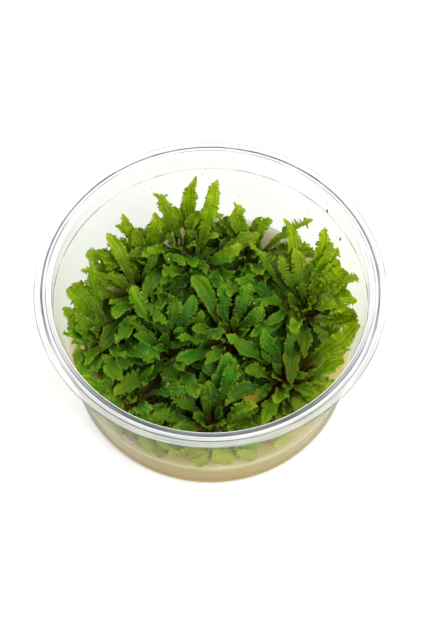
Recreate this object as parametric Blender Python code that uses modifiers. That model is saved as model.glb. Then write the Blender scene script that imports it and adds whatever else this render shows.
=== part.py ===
# Tissue culture downoi: rosettes of a small aquarium plant, rooted in set agar gel in their
# clear culture cup. The cup stands open, as on the day it is planted out.
#
# Units are metres, +Z is up, and the origin is the centre of the cup's base on the table.
# The cup and the gel are turned shapes. Each leaf is a loft of four-pointed sections along an
# arching midrib: it has a keel, two thin wavy margins and a pointed end. Each plantlet has one
# crown, which is its short stem with the young leaves grown out of it, and the grown leaves
# around it are solids of their own.

import math

import bmesh
import bpy
import numpy as np
from mathutils import Matrix
from mathutils.bvhtree import BVHTree

MM = 0.001

# The cup: a press-on-lid culture cup, 100 mm across the rim.
CUP_HEIGHT = 47.6 * MM
RIM_RADIUS = 50.0 * MM
WALL = 0.8 * MM
FLOOR = 1.0 * MM
BASE_RADIUS = 41.5 * MM
BASE_CORNER = 3.5 * MM
PLUG_BOTTOM_Z = 40.2 * MM      # the ledge that the lid's plug reaches down to
PLUG_RADIUS = 45.4 * MM        # inner radius above the ledge
PLUG_STEP = 0.4 * MM           # the ledge's own step
MOUTH_RADIUS = 45.2 * MM       # the inner top edge, drawn in a little to grip the lid
MOUTH_Z = 46.5 * MM
CREST_RADIUS = 47.3 * MM       # the lid rests on the flat flange outside this ring
RIM_ROUND = 0.5 * MM
FLANGE_THICK = 1.0 * MM
SKIRT_DEPTH = 2.0 * MM
SKIRT_THICK = 0.7 * MM
TURN_STEPS = 48
CORNER_STEPS = 3

# The gel: poured warm and set with the cup a little out of level.
GEL_DEPTH = 16.0 * MM
GEL_SLOPE = 0.035              # rise towards +Y
GAP = 0.3 * MM                 # between every two pieces that touch

# The plants.
STEM_RADIUS = 1.4 * MM
STEM_SIDES = 5                 # the young leaves stand in whorls of five
STEM_IN_GEL = 4.0 * MM
STEM_ABOVE_GEL = 6.0 * MM
POCKET_SIDES = 6
WHORL_RISE = 0.70 * MM         # from one row of leaf feet to the next
BUD_RADIUS = 0.8 * MM
LEAF_PLACES = tuple(ring / 8 for ring in range(8))
LEAF_THICK = 0.7 * MM
LEAF_FOOT_OUT = 1.0 * MM       # from the stem's side to the middle of a grown leaf's foot
LEAF_FOOT_Z = 1.1 * MM         # height of the lowest grown leaf's foot above the gel
LEAF_FOOT_STEP = 0.5 * MM
PETIOLE_SHARE = 0.17           # width of the leaf's foot, as a share of its widest
MARGIN_LIFT = 0.22             # how far the margins stand above the keel, per half width
MARGIN_WAVE = 0.14             # how far the margins wave up and down, per half width
TOOTH = 0.10                   # how far the margins wave in and out, per half width
BOW = 0.20                     # rise of the midrib above its chord, per length

# Young leaves, whorl by whorl from the lowest: length, width and rise of the chord.
YOUNG_LEAVES = (
    (23.0 * MM, 6.4 * MM, 12.0),
    (21.0 * MM, 6.0 * MM, 27.0),
    (16.0 * MM, 5.2 * MM, 43.0),
    (9.0 * MM, 3.4 * MM, 66.0),
)
YOUNG_PLACES = (0.0, 0.33, 0.68)
YOUNG_SPREAD = 0.24            # how much the young leaves of a whorl differ in length
PLANT_TURN = math.radians(137.5)   # from one plantlet's first leaf to the next one's
YOUNG_THICK = 0.8 * MM
STEEPEST = 84.0
OWN_GAP = 0.1 * MM             # between the leaves of one crown

# Where each plantlet grows, in mm, and the tips of its grown leaves with their widths.
# x, y and z are in the cup's own axes, as read from the photograph.
PLANTS = {
    "back": ((-9, 27), ((-4, 40, 44, 6.0), (-16, 36, 41, 8.0), (-10, 37, 32, 4.5))),
    "back_left": ((-19, 21), ((-26, 33, 34, 5.0), (-20, 34, 33, 5.0), (-29, 28, 27, 5.0),
                              (-33, 17, 23, 8.0))),
    "back_mid": ((-5, 19), ((2, 39, 43, 7.0), (-15, 20, 33, 5.5), (8, 14, 30, 6.5))),
    "back_right": ((11, 24), ((7, 35, 37, 6.5), (14, 36, 28, 5.5), (23, 26, 26, 5.5),
                              (16, 13, 30, 6.0))),
    "right_back": ((27, 6), ((36, 21, 37, 5.0), (22, 31, 35, 5.5), (43, 11, 37, 8.5),
                             (28, 29, 33, 4.5), (44, 1, 38, 8.0), (37, -8, 28, 7.0))),
    "right_front": ((22, -17), ((43, -7, 37, 8.0), (41, -17, 32, 9.0), (35, -25, 26, 7.5),
                                (28, -31, 24, 6.5), (9, -25, 20, 5.5), (9, -16, 27, 6.5))),
    "centre": ((6, -4), ((1, 8, 29, 6.5), (15, 6, 30, 6.5), (20, -8, 29, 6.5),
                         (11, -13, 24, 5.0))),
    "centre_left": ((-11, -8), ((-18, 2, 29, 6.5), (-2, 2, 29, 6.0))),
    "mid_left": ((-20, 10), ((-26, 19, 30, 6.0), (-11, 5, 30, 6.0))),
    "left": ((-31, -4), ((-42, -10, 37, 8.0), (-43, 2, 37, 8.5), (-37, -18, 30, 9.0),
                         (-40, 12, 39, 5.0))),
    "front_left": ((-22, -22), ((-34, -22, 28, 8.5), (-27, -32, 27, 7.5), (-14, -34, 25, 6.5),
                                (-9, -21, 29, 6.5))),
    "front": ((0, -31), ((-17, -27, 24, 7.0), (5, -13, 32, 8.5), (18, -33, 25, 7.0),
                         (-6, -40, 19, 6.5))),
}


def clear_scene():
    for obj in list(bpy.data.objects):
        bpy.data.objects.remove(obj, do_unlink=True)


def collection(name):
    found = bpy.data.collections.get(name) or bpy.data.collections.new(name)
    if name not in bpy.context.scene.collection.children:
        bpy.context.scene.collection.children.link(found)
    return found


def material(name, colour, roughness, alpha=1.0, transmission=0.0):
    """A Principled finish with one colour, given as linear red, green and blue."""
    made = bpy.data.materials.new(name)
    made.use_nodes = True
    shader = made.node_tree.nodes["Principled BSDF"]
    shader.inputs["Base Color"].default_value = (*colour, 1.0)
    shader.inputs["Roughness"].default_value = roughness
    shader.inputs["Metallic"].default_value = 0.0
    shader.inputs["Alpha"].default_value = alpha
    shader.inputs["Transmission Weight"].default_value = transmission
    return made


def new_object(name, mesh, finish, group):
    mesh.materials.append(finish)
    obj = bpy.data.objects.new(name, mesh)
    group.objects.link(obj)
    return obj


def arc(centre_x, centre_z, radius, start, end, steps):
    """Points on an arc in the X-Z plane, angles in degrees from +X."""
    angles = np.radians(np.linspace(start, end, steps + 1))
    return [(centre_x + radius * math.cos(a), centre_z + radius * math.sin(a)) for a in angles]


def wall_radius(z):
    """Inner radius of the cup's wall at height z, up to the ledge."""
    low_z, high_z = BASE_CORNER, PLUG_BOTTOM_Z - PLUG_STEP
    low_r, high_r = BASE_RADIUS - WALL, PLUG_RADIUS - PLUG_STEP
    share = np.clip((np.asarray(z) - low_z) / (high_z - low_z), 0.0, 1.0)
    return low_r + (high_r - low_r) * share


def gel_top(y):
    """Height of the gel's surface at y."""
    return GEL_DEPTH + GEL_SLOPE * y


def turned(name, profile, finish, group):
    """A solid of revolution about Z from a profile in the X-Z plane, with both ends on Z."""
    mesh = bpy.data.meshes.new(name)
    points = [(x, 0.0, z) for x, z in profile]
    mesh.from_pydata(points, [(i, i + 1) for i in range(len(points) - 1)], [])
    obj = new_object(name, mesh, finish, group)
    screw = obj.modifiers.new("turn", "SCREW")
    screw.steps = TURN_STEPS
    screw.render_steps = TURN_STEPS
    screw.use_merge_vertices = True
    screw.merge_threshold = 0.00001
    return obj


def cup(group):
    inner_corner = BASE_CORNER - WALL
    corner_in = arc(BASE_RADIUS - BASE_CORNER, FLOOR + inner_corner, inner_corner,
                    -90, 0, CORNER_STEPS)
    corner_out = arc(BASE_RADIUS - BASE_CORNER, BASE_CORNER, BASE_CORNER, 0, -90, CORNER_STEPS)
    under = CUP_HEIGHT - FLANGE_THICK
    skirt_z = CUP_HEIGHT - SKIRT_DEPTH
    inside = [(0.0, FLOOR)] + corner_in + [
        (PLUG_RADIUS - PLUG_STEP, PLUG_BOTTOM_Z - PLUG_STEP),
        (PLUG_RADIUS, PLUG_BOTTOM_Z),
        (MOUTH_RADIUS, MOUTH_Z),
    ]
    rim = [
        (CREST_RADIUS, CUP_HEIGHT),
        (RIM_RADIUS - RIM_ROUND, CUP_HEIGHT),
        (RIM_RADIUS, CUP_HEIGHT - RIM_ROUND),
        (RIM_RADIUS, skirt_z),
        (RIM_RADIUS - SKIRT_THICK, skirt_z),
        (RIM_RADIUS - SKIRT_THICK, under),
    ]
    outside = [
        (PLUG_RADIUS + WALL, under),
        (PLUG_RADIUS + WALL, PLUG_BOTTOM_Z),
        (PLUG_RADIUS + WALL - PLUG_STEP, PLUG_BOTTOM_Z - PLUG_STEP),
    ] + corner_out + [(0.0, 0.0)]
    finish = material("clear_polystyrene", (0.9, 0.92, 0.92), 0.05, alpha=0.35, transmission=1.0)
    return turned("culture_cup", inside + rim + outside, finish, group)


def gel(group, cutters):
    """The set gel: a turned blank, cut off along its sloping surface, with a pocket a stem."""
    floor_z = FLOOR + GAP
    corner = BASE_CORNER - WALL - GAP
    blank_z = GEL_DEPTH + 6.0 * MM
    profile = [(0.0, blank_z), (float(wall_radius(blank_z)) - GAP, blank_z)]
    profile += arc(BASE_RADIUS - BASE_CORNER, floor_z + corner, corner, 0, -90, CORNER_STEPS)
    profile.append((0.0, floor_z))
    finish = material("agar_gel", (0.62, 0.53, 0.36), 0.35)
    obj = turned("agar_gel", profile, finish, group)
    above = bmesh.new()
    bmesh.ops.create_cube(above, size=1.0)
    size = Matrix.Diagonal((0.2, 0.2, 0.04, 1.0))
    tilt = Matrix.Rotation(math.atan(GEL_SLOPE), 4, "X")
    bmesh.ops.transform(above, matrix=tilt @ Matrix.Translation((0, 0, 0.02)) @ size,
                        verts=above.verts)
    bmesh.ops.translate(above, vec=(0.0, 0.0, GEL_DEPTH), verts=above.verts)
    cut(obj, "above_the_gel", above, cutters)
    pockets = bmesh.new()
    for (x, y), _ in PLANTS.values():
        low = gel_top(y * MM) - STEM_IN_GEL - GAP
        high = gel_top(y * MM) + 1.0 * MM
        radius = (STEM_RADIUS + GAP) / math.cos(math.pi / POCKET_SIDES)
        place = Matrix.Translation((x * MM, y * MM, 0.5 * (low + high)))
        bmesh.ops.create_cone(pockets, cap_ends=True, segments=POCKET_SIDES, radius1=radius,
                              radius2=radius, depth=high - low, matrix=place)
    cut(obj, "stem_pockets", pockets, cutters)
    return obj


def cut(obj, name, bm, cutters):
    """Takes the solid in bm out of obj, with a Boolean that stays on it."""
    mesh = bpy.data.meshes.new(name)
    bm.to_mesh(mesh)
    bm.free()
    cutter = bpy.data.objects.new(name, mesh)
    cutters.objects.link(cutter)
    cutter.hide_render = True
    cutter.display_type = "WIRE"
    boolean = obj.modifiers.new(name, "BOOLEAN")
    boolean.operation = "DIFFERENCE"
    boolean.object = cutter


def leaf_points(foot, tip, width, thick, places, grow=0.0):
    """The sections of one leaf, foot to tip, as an array of rings of four points, and the tip.

    places are the shares t of its length at which the sections stand. The midrib is the curve
    (1-t)^2 foot + 2t(1-t) bend + t^2 tip, whose bend stands above the chord, nearer to the
    foot. Across it lie the left margin, the upper side, the right margin and the keel. The
    half width is petiole + (1 - petiole) sin(pi t^1.35)^0.85, times half the leaf's width,
    and the margins wave up and down, and in and out, by turns. grow makes the leaf fatter all
    round, which is how its clearance is tried.
    """
    foot = np.array(foot)
    tip = np.array(tip)
    chord = tip - foot
    run = np.array((chord[0], chord[1], 0.0)) / np.hypot(chord[0], chord[1])
    bend = foot + 0.42 * chord + np.array((0.0, 0.0, BOW * np.linalg.norm(chord)))
    t = np.asarray(places)[:, None]
    spine = (1 - t) ** 2 * foot + 2 * t * (1 - t) * bend + t ** 2 * tip
    along = 2 * (1 - t) * (bend - foot) + 2 * t * (tip - bend)
    along /= np.linalg.norm(along, axis=1, keepdims=True)
    side = np.cross((0.0, 0.0, 1.0), run)
    up = np.cross(along, side)
    half = 0.5 * width * (PETIOLE_SHARE + (1 - PETIOLE_SHARE) * np.sin(np.pi * t ** 1.35) ** 0.85)
    turn = np.where(np.arange(len(t))[:, None] % 2 == 0, 1.0, -1.0)
    body = 0.5 * thick * (1.0 - 0.35 * t) + grow
    left = spine + side * (half * (1 + TOOTH * turn) + grow)
    right = spine - side * (half * (1 - TOOTH * turn) + grow)
    left += up * half * (MARGIN_LIFT + MARGIN_WAVE * turn)
    right += up * half * (MARGIN_LIFT - MARGIN_WAVE * turn)
    sections = np.stack((left, spine + up * body, right, spine - up * body), axis=1)
    sections[0] -= along[0] * grow
    return sections, tip + along[-1] * grow


def skin(bm, rows, end):
    """Faces between the rows of four vertices of a leaf, and from the last row to its tip."""
    for low, high in zip(rows, rows[1:]):
        for i in range(4):
            j = (i + 1) % 4
            bm.faces.new((low[j], low[i], high[i], high[j]))
    for i in range(4):
        j = (i + 1) % 4
        bm.faces.new((rows[-1][j], rows[-1][i], end))


def leaf_solid(sections, tip):
    """A closed leaf of its own, as a bmesh."""
    bm = bmesh.new()
    rows = [[bm.verts.new(point) for point in ring] for ring in sections]
    bm.faces.new(rows[0])
    skin(bm, rows, bm.verts.new(tip))
    bmesh.ops.triangulate(bm, faces=bm.faces)
    bmesh.ops.recalc_face_normals(bm, faces=bm.faces)
    return bm


def tree_of(bm):
    """A search tree of a bmesh's faces, which frees the bmesh."""
    tree = BVHTree.FromBMesh(bm)
    bm.free()
    return tree


def inside_cup(sections, tip):
    """True where all of a leaf's points are within the wall and above the gel."""
    points = np.vstack((sections.reshape(-1, 3), tip))
    radius = np.hypot(points[:, 0], points[:, 1])
    return np.all(radius < wall_radius(points[:, 2])) and np.all(
        points[:, 2] > gel_top(points[:, 1]))


def clear_of(sections, tip, trees):
    tree = tree_of(leaf_solid(sections, tip))
    return not any(tree.overlap(other) for other in trees)


def ways_aside(turns, lifts, shares):
    """Ways to move a leaf aside, the smallest first: a turn, a lift and a share of length."""
    ways = [(turn, lift, share) for turn in turns for lift in lifts for share in shares]
    return sorted(ways, key=lambda way: abs(way[0]) / 5 + abs(way[1]) + 25 * (1 - way[2]))


def grown_leaf(x, y, foot_z, tip, width, trees):
    """A grown leaf on the stem at x, y, in the first clear place at or beside its own."""
    reach = math.hypot(tip[0] - x, tip[1] - y)
    heading = math.atan2(tip[1] - y, tip[0] - x)
    for turn, lift, share in ways_aside(range(-60, 61, 5), range(-4, 9, 2), (1, 0.92, 0.84, 0.76)):
        angle = heading + math.radians(turn)
        way = np.array((math.cos(angle), math.sin(angle), 0.0))
        foot = np.array((x, y, foot_z)) + way * (STEM_RADIUS + LEAF_FOOT_OUT)
        high = foot_z + (tip[2] + lift * MM - foot_z) * share
        end = np.array((x, y, high)) + way * reach * share
        fat = leaf_points(foot, end, width, LEAF_THICK, LEAF_PLACES, grow=GAP)
        if inside_cup(*fat) and clear_of(*fat, trees):
            return leaf_points(foot, end, width, LEAF_THICK, LEAF_PLACES)
    raise ValueError("no clear place for a leaf")


def stem_rows(x, y, turn):
    """The rings of a stem, from its cut end in the gel to the last row of leaf feet.

    Above the gel each ring stands half a step round from the one below, so that the faces
    between them are lozenges, one a leaf. The last point is the bud's.
    """
    top = gel_top(y) + STEM_ABOVE_GEL
    count = len(YOUNG_LEAVES) + 2
    heights = [top - (count - 1 - row) * WHORL_RISE for row in range(count)]
    radii = [STEM_RADIUS] * (count - 1) + [BUD_RADIUS]
    rings = []
    for row, (z, radius) in enumerate(zip(heights, radii)):
        angles = turn + (np.arange(STEM_SIDES) + 0.5 * (row % 2)) * 2 * math.pi / STEM_SIDES
        ring = np.stack((x + radius * np.cos(angles), y + radius * np.sin(angles),
                         np.full(STEM_SIDES, z)), axis=1)
        rings.append(ring)
    cut_end = rings[0].copy()
    cut_end[:, 2] = gel_top(y) - STEM_IN_GEL
    return cut_end, rings, np.array((x, y, top + BUD_RADIUS))


def stem_solid(x, y):
    """A stem without its leaves, to keep the grown leaves clear of it."""
    bm = bmesh.new()
    bmesh.ops.create_cone(bm, cap_ends=True, segments=STEM_SIDES * 2, radius1=STEM_RADIUS,
                          radius2=STEM_RADIUS, depth=STEM_ABOVE_GEL + STEM_IN_GEL)
    middle = gel_top(y) + 0.5 * (STEM_ABOVE_GEL - STEM_IN_GEL)
    bmesh.ops.translate(bm, vec=(x, y, middle), verts=bm.verts)
    return bm


def young_leaf(lozenge, centre, whorl, trees, own):
    """A young leaf that grows out of a lozenge of the stem, clear of the rest, or None."""
    length, width, rise = YOUNG_LEAVES[whorl]
    foot = lozenge.mean(axis=0)
    heading = math.atan2(foot[1] - centre[1], foot[0] - centre[0])
    length *= 1.0 + 0.5 * YOUNG_SPREAD * math.sin(3.0 * heading + whorl)
    for turn, lift, share in ways_aside(range(-30, 31, 6), (-12, -6, 0, 6, 12, 18), (1, 0.85, 0.7)):
        angle = heading + math.radians(turn)
        slope = math.radians(min(rise + lift, STEEPEST))
        way = np.array((math.cos(angle) * math.cos(slope), math.sin(angle) * math.cos(slope),
                        math.sin(slope)))
        tip = foot + way * length * share
        fat = leaf_points(foot, tip, width, YOUNG_THICK, YOUNG_PLACES, grow=GAP)
        if not inside_cup(*fat) or not clear_of(*fat, trees):
            continue
        near = leaf_points(foot, tip, width, YOUNG_THICK, YOUNG_PLACES, grow=OWN_GAP)
        if clear_of(near[0][1:], near[1], own):
            sections, tip = leaf_points(foot, tip, width, YOUNG_THICK, YOUNG_PLACES)
            return sections[1:], tip
    return None


def crown(x, y, turn, trees):
    """One crown as a bmesh: the stem, a leaf from each lozenge that has room, and the bud."""
    bm = bmesh.new()
    cut_end, rings, bud = stem_rows(x, y, turn)
    centre = (x, y)
    end_row = [bm.verts.new(point) for point in cut_end]
    rows = [[bm.verts.new(point) for point in ring] for ring in rings]
    top = bm.verts.new(bud)
    bm.faces.new(end_row)
    own = []
    for i in range(STEM_SIDES):
        j = (i + 1) % STEM_SIDES
        bm.faces.new((end_row[i], end_row[j], rows[0][j], rows[0][i]))
        bm.faces.new((rows[0][i], rows[0][j], rows[1][i]))
        bm.faces.new((rows[-1][i], rows[-1][j], top))
        last = (i + 1 - len(rows) % 2) % STEM_SIDES
        bm.faces.new((rows[-1][i], rows[-1][j], rows[-2][last]))
    for whorl in range(len(YOUNG_LEAVES)):
        shift = (whorl + 1) % 2
        middle = rows[whorl + 1]
        for i in range(STEM_SIDES):
            k = (i + shift) % STEM_SIDES
            left = (i + 1) % STEM_SIDES
            lozenge = (middle[left], rows[whorl + 2][k], middle[i], rows[whorl][k])
            points = np.array([vert.co for vert in lozenge])
            leaf = young_leaf(points, centre, whorl, trees, own)
            if leaf is None:
                bm.faces.new(lozenge)
                continue
            sections, tip = leaf
            own.append(tree_of(leaf_solid(sections, tip)))
            leaf_rows = [[bm.verts.new(point) for point in ring] for ring in sections]
            skin(bm, [lozenge] + leaf_rows, bm.verts.new(tip))
    bmesh.ops.triangulate(bm, faces=bm.faces)
    bmesh.ops.recalc_face_normals(bm, faces=bm.faces)
    return bm


def add_solid(name, bm, finish, group):
    """An object from a bmesh, and the search tree of its faces."""
    mesh = bpy.data.meshes.new(name)
    bm.to_mesh(mesh)
    new_object(name, mesh, finish, group)
    return tree_of(bm)


def plants(group):
    """The grown leaves, which take their places first, and then the crowns among them."""
    leaf_finish = material("downoi_leaf", (0.16, 0.36, 0.03), 0.4)
    crown_finish = material("downoi_crown", (0.10, 0.22, 0.03), 0.45)
    spots = {name: (x * MM, y * MM) for name, ((x, y), _) in PLANTS.items()}
    stems = {name: tree_of(stem_solid(*spot)) for name, spot in spots.items()}
    leaves = []
    for name, (_, tips) in PLANTS.items():
        x, y = spots[name]
        for count, (tip_x, tip_y, tip_z, width) in enumerate(tips, 1):
            foot_z = gel_top(y) + LEAF_FOOT_Z + LEAF_FOOT_STEP * (count % 3)
            tip = (tip_x * MM, tip_y * MM, tip_z * MM)
            points = grown_leaf(x, y, foot_z, tip, width * MM, leaves + list(stems.values()))
            leaves.append(add_solid(f"leaf_{name}_{count}", leaf_solid(*points), leaf_finish,
                                    group))
    crowns = dict(stems)
    for count, (name, spot) in enumerate(spots.items()):
        others = [tree for other, tree in crowns.items() if other != name]
        bm = crown(*spot, count * PLANT_TURN, leaves + others)
        crowns[name] = add_solid(f"crown_{name}", bm, crown_finish, group)


def main():
    clear_scene()
    group = collection("tissue_culture_downoi")
    cutters = collection("cutters")
    cup(group)
    gel(group, cutters)
    plants(group)


main()
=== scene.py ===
# %% [markdown]
# # Tissue culture downoi in its cup
#
# Downoi is a small aquarium plant. Laboratories raise it in clear plastic cups, on a layer of
# set agar gel, until the rosettes of crinkled leaves fill the cup from wall to wall.
#
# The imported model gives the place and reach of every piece. This lesson dresses each piece:
# the moulded cup, the poured gel, the grown leaves and the crowns of young ones. Everything is
# in metres, with the origin under the middle of the cup and +Z up.

# %% Load the frame
import math

import bpy
import numpy as np
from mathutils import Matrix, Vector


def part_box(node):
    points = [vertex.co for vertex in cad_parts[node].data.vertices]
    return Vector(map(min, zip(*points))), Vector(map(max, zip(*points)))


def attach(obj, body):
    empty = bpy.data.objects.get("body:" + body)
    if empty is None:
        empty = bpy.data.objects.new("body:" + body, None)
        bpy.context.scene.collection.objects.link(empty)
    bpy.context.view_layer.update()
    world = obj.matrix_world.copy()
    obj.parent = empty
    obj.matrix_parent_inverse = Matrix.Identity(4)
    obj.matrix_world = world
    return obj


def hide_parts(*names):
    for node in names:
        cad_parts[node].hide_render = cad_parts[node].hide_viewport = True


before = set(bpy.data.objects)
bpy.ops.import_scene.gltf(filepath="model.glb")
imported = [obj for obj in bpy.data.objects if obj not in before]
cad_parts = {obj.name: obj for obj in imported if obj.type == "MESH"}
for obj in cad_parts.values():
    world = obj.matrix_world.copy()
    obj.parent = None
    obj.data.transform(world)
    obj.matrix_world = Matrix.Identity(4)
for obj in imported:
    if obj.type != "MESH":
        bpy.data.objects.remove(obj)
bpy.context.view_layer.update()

MM = 0.001
node_names = sorted(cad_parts)
leaf_names = [name for name in node_names if name.startswith("leaf_")]
crown_names = [name for name in node_names if name.startswith("crown_")]
print(f"{len(leaf_names)} grown leaves and {len(crown_names)} crowns")

# %% [markdown]
# ## The camera
#
# The photograph looks down into the cup from the front, at about sixty degrees. A lens and a
# distance that give the rim its shape in the picture were fitted to the rings of the rim. The
# camera could be turned by hand, but aiming it at a point with one formula keeps it exact.

# %% Camera
LENS_MM = 87.8
FILM_MM = 36.0
CAMERA_DISTANCE = 450 * MM
CAMERA_RISE = math.radians(60.84)
AIM_HEIGHT = 29.96 * MM

camera_data = bpy.data.cameras.new("camera")
camera_data.lens = LENS_MM
camera_data.sensor_width = FILM_MM
camera = bpy.data.objects.new("camera", camera_data)
camera.location = (0.0, -CAMERA_DISTANCE * math.cos(CAMERA_RISE),
                   AIM_HEIGHT + CAMERA_DISTANCE * math.sin(CAMERA_RISE))
camera.rotation_euler = (math.pi / 2 - CAMERA_RISE, 0.0, 0.0)
bpy.context.scene.collection.objects.link(camera)
bpy.context.scene.camera = camera
print("camera at", [round(x, 4) for x in camera.location])

# %% [markdown]
# ## Helpers for surfaces
#
# Every piece here is a grid of points: one parameter runs along it, the other runs round it.
# Both a turned cup and a leaf are such tubes, closed by one point at each end. So one function
# can join the points of any number of tubes into a mesh, with all faces pointing outwards.

# %% Tubes from grids of points
def full_turn(count):
    """Angles spaced evenly round a full turn."""
    return np.arange(count) * 2 * math.pi / count


def round_axis(radius, angle, height):
    """Points (r cos a, r sin a, z) from radii r, angles a and heights z."""
    return np.stack(np.broadcast_arrays(
        radius * np.cos(angle), radius * np.sin(angle), height), axis=-1)


def tube_faces(count, rows, around):
    """Faces of count closed tubes. The points of a tube are its first pole, its rows and its
    last pole. Going round a row is anticlockwise when looked at against the tube's direction,
    so that each four-cornered face points outwards."""
    stride = rows * around + 2
    first = np.arange(count)[:, None] * stride
    j = np.arange(around)
    k = (j + 1) % around
    low = 1 + np.arange(rows - 1)[:, None] * around
    quads = np.stack((low + j, low + k, low + around + k, low + around + j), axis=-1)
    quads = (first[:, :, None, None] + quads[None]).reshape(-1, 4)
    start = np.stack((np.zeros_like(j), 1 + k, 1 + j), axis=-1)
    last = 1 + (rows - 1) * around
    end = np.stack((last + j, last + k, np.full_like(j, last + around)), axis=-1)
    fans = (first[:, :, None] + np.concatenate((start, end))[None]).reshape(-1, 3)
    return quads, fans


def tube_points(poles_low, grid, poles_high):
    """The points of tubes in the order of tube_faces, from a grid of (tube, row, around)."""
    count, size = grid.shape[0], grid.shape[-1]
    return np.concatenate((poles_low[:, None], grid.reshape(count, -1, size),
                           poles_high[:, None]), axis=1).reshape(-1, size)


def mesh_object(name, points, faces, maps=None, values=None):
    """A smooth mesh piece from an array of points and a list of face arrays. maps gives UV
    maps by name, as a pair for each point, and values gives attributes, as one number."""
    mesh = bpy.data.meshes.new(name)
    mesh.from_pydata(points.tolist(), [], [face for part in faces for face in part.tolist()])
    corners = np.empty(len(mesh.loops), dtype=np.int32)
    mesh.loops.foreach_get("vertex_index", corners)
    for map_name, pairs in (maps or {}).items():
        layer = mesh.uv_layers.new(name=map_name)
        layer.data.foreach_set("uv", pairs[corners].astype(np.float32).ravel())
    for value_name, numbers in (values or {}).items():
        attribute = mesh.attributes.new(value_name, "FLOAT", "POINT")
        attribute.data.foreach_set("value", numbers.astype(np.float32))
    mesh.shade_smooth()
    made = bpy.data.objects.new(name, mesh)
    bpy.context.scene.collection.objects.link(made)
    return made


def tube_object(name, low, grid, high, values=None):
    """A piece made of tubes. values gives attributes here as one number for each tube."""
    count, rows, around = grid.shape[:3]
    spread = {key: np.repeat(numbers, rows * around + 2)
              for key, numbers in (values or {}).items()}
    return mesh_object(name, tube_points(low, grid, high), tube_faces(count, rows, around),
                       values=spread)


# %% [markdown]
# ## Helpers for finishes
#
# A finish is a small tree of shader nodes. Colours are chosen as the hex values that a picture
# program shows, so they have to be turned into the linear values that light adds up in.

# %% Colours and nodes
def linear(hex_colour):
    """An sRGB hex value as linear red, green, blue and alpha: ((s + 0.055) / 1.055)^2.4 above
    0.04045, and s / 12.92 below it."""
    s = np.array([int(hex_colour[i:i + 2], 16) for i in (1, 3, 5)]) / 255.0
    rgb = np.where(s <= 0.04045, s / 12.92, ((s + 0.055) / 1.055) ** 2.4)
    return (*rgb.tolist(), 1.0)


def add_node(tree, kind, inputs=None, stops=None, **settings):
    """Adds a node. inputs sets sockets by name or number, to a value, to another node's socket,
    or to a node, which stands for its first socket in use. A Mix of colours has its share on
    socket 0 and its colours on 6 and 7. stops gives a colour ramp's places and hex colours.
    settings are the node's properties."""
    made = tree.nodes.new("ShaderNode" + kind)
    for key, value in settings.items():
        setattr(made, key, value)
    for key, value in (inputs or {}).items():
        if isinstance(value, bpy.types.Node):
            value = next(socket for socket in value.outputs if socket.enabled)
        if isinstance(value, bpy.types.NodeSocket):
            tree.links.new(value, made.inputs[key])
        else:
            made.inputs[key].default_value = value
    if stops:
        ramp = made.color_ramp
        while len(ramp.elements) < len(stops):
            ramp.elements.new(0.5)
        for element, (place, hex_colour) in zip(ramp.elements, stops):
            element.position = place
            element.color = linear(hex_colour)
    return made


def new_finish(name):
    """An empty material and its node tree."""
    finish = bpy.data.materials.new(name)
    finish.use_nodes = True
    finish.node_tree.nodes.clear()
    return finish, finish.node_tree


def place_nodes(tree):
    """The sockets of a point's place in metres, of its X, Y and Z, and of its distance from
    the cup's axis, which is the length of (x, y, 0)."""
    place = add_node(tree, "TexCoord").outputs["Object"]
    parts = add_node(tree, "SeparateXYZ", {"Vector": place}).outputs
    level = add_node(tree, "VectorMath", {0: place, 1: (1.0, 1.0, 0.0)}, operation="MULTIPLY")
    out = add_node(tree, "VectorMath", {0: level}, operation="LENGTH").outputs["Value"]
    return place, parts, out


# %% [markdown]
# ## The cup's finish: clear polystyrene
#
# Such cups are moulded from clear polystyrene. A flat wall of 0.8 mm hardly bends light, so the
# finish lets light straight through, which also lights the plants. It mirrors the more the
# flatter it is looked along, as a power of 1 - cos(angle). Where it is looked along, the light let
# through is also darkened: painted shade, in place of the refraction that isn't drawn. The rim is
# solid and gathers light from all sides, as a lens does. Real refraction would shade the
# leaves, as light isn't followed through it, so the rim's light is painted: a painted white
# highlight where it faces the eye, a painted glow at the edge of the mouth, and painted shade
# where it is looked along. That gives the eye a wall it hardly sees and the thin dark painted
# lines by which it knows a clear cup.

# %% Clear polystyrene
HEAD_ON = 0.015         # share that the plastic mirrors when looked at square on
LOOKED_ALONG = 0.6      # and when looked along
GRAZING = 9.0           # power of the rise between the two
DEW_TOP = 40 * MM       # dew settles below this height
DEW_FULL = 20 * MM
GAP_FINENESS = 110.0    # noise cells to the metre: the gaps in the broken painted lines are 9 mm apart
STREAK_FINENESS = 60.0  # grey streaks in the painted white are 17 mm long along the rim
STREAK_ACROSS = 40.0    # and so much finer across it, 0.4 mm


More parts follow.
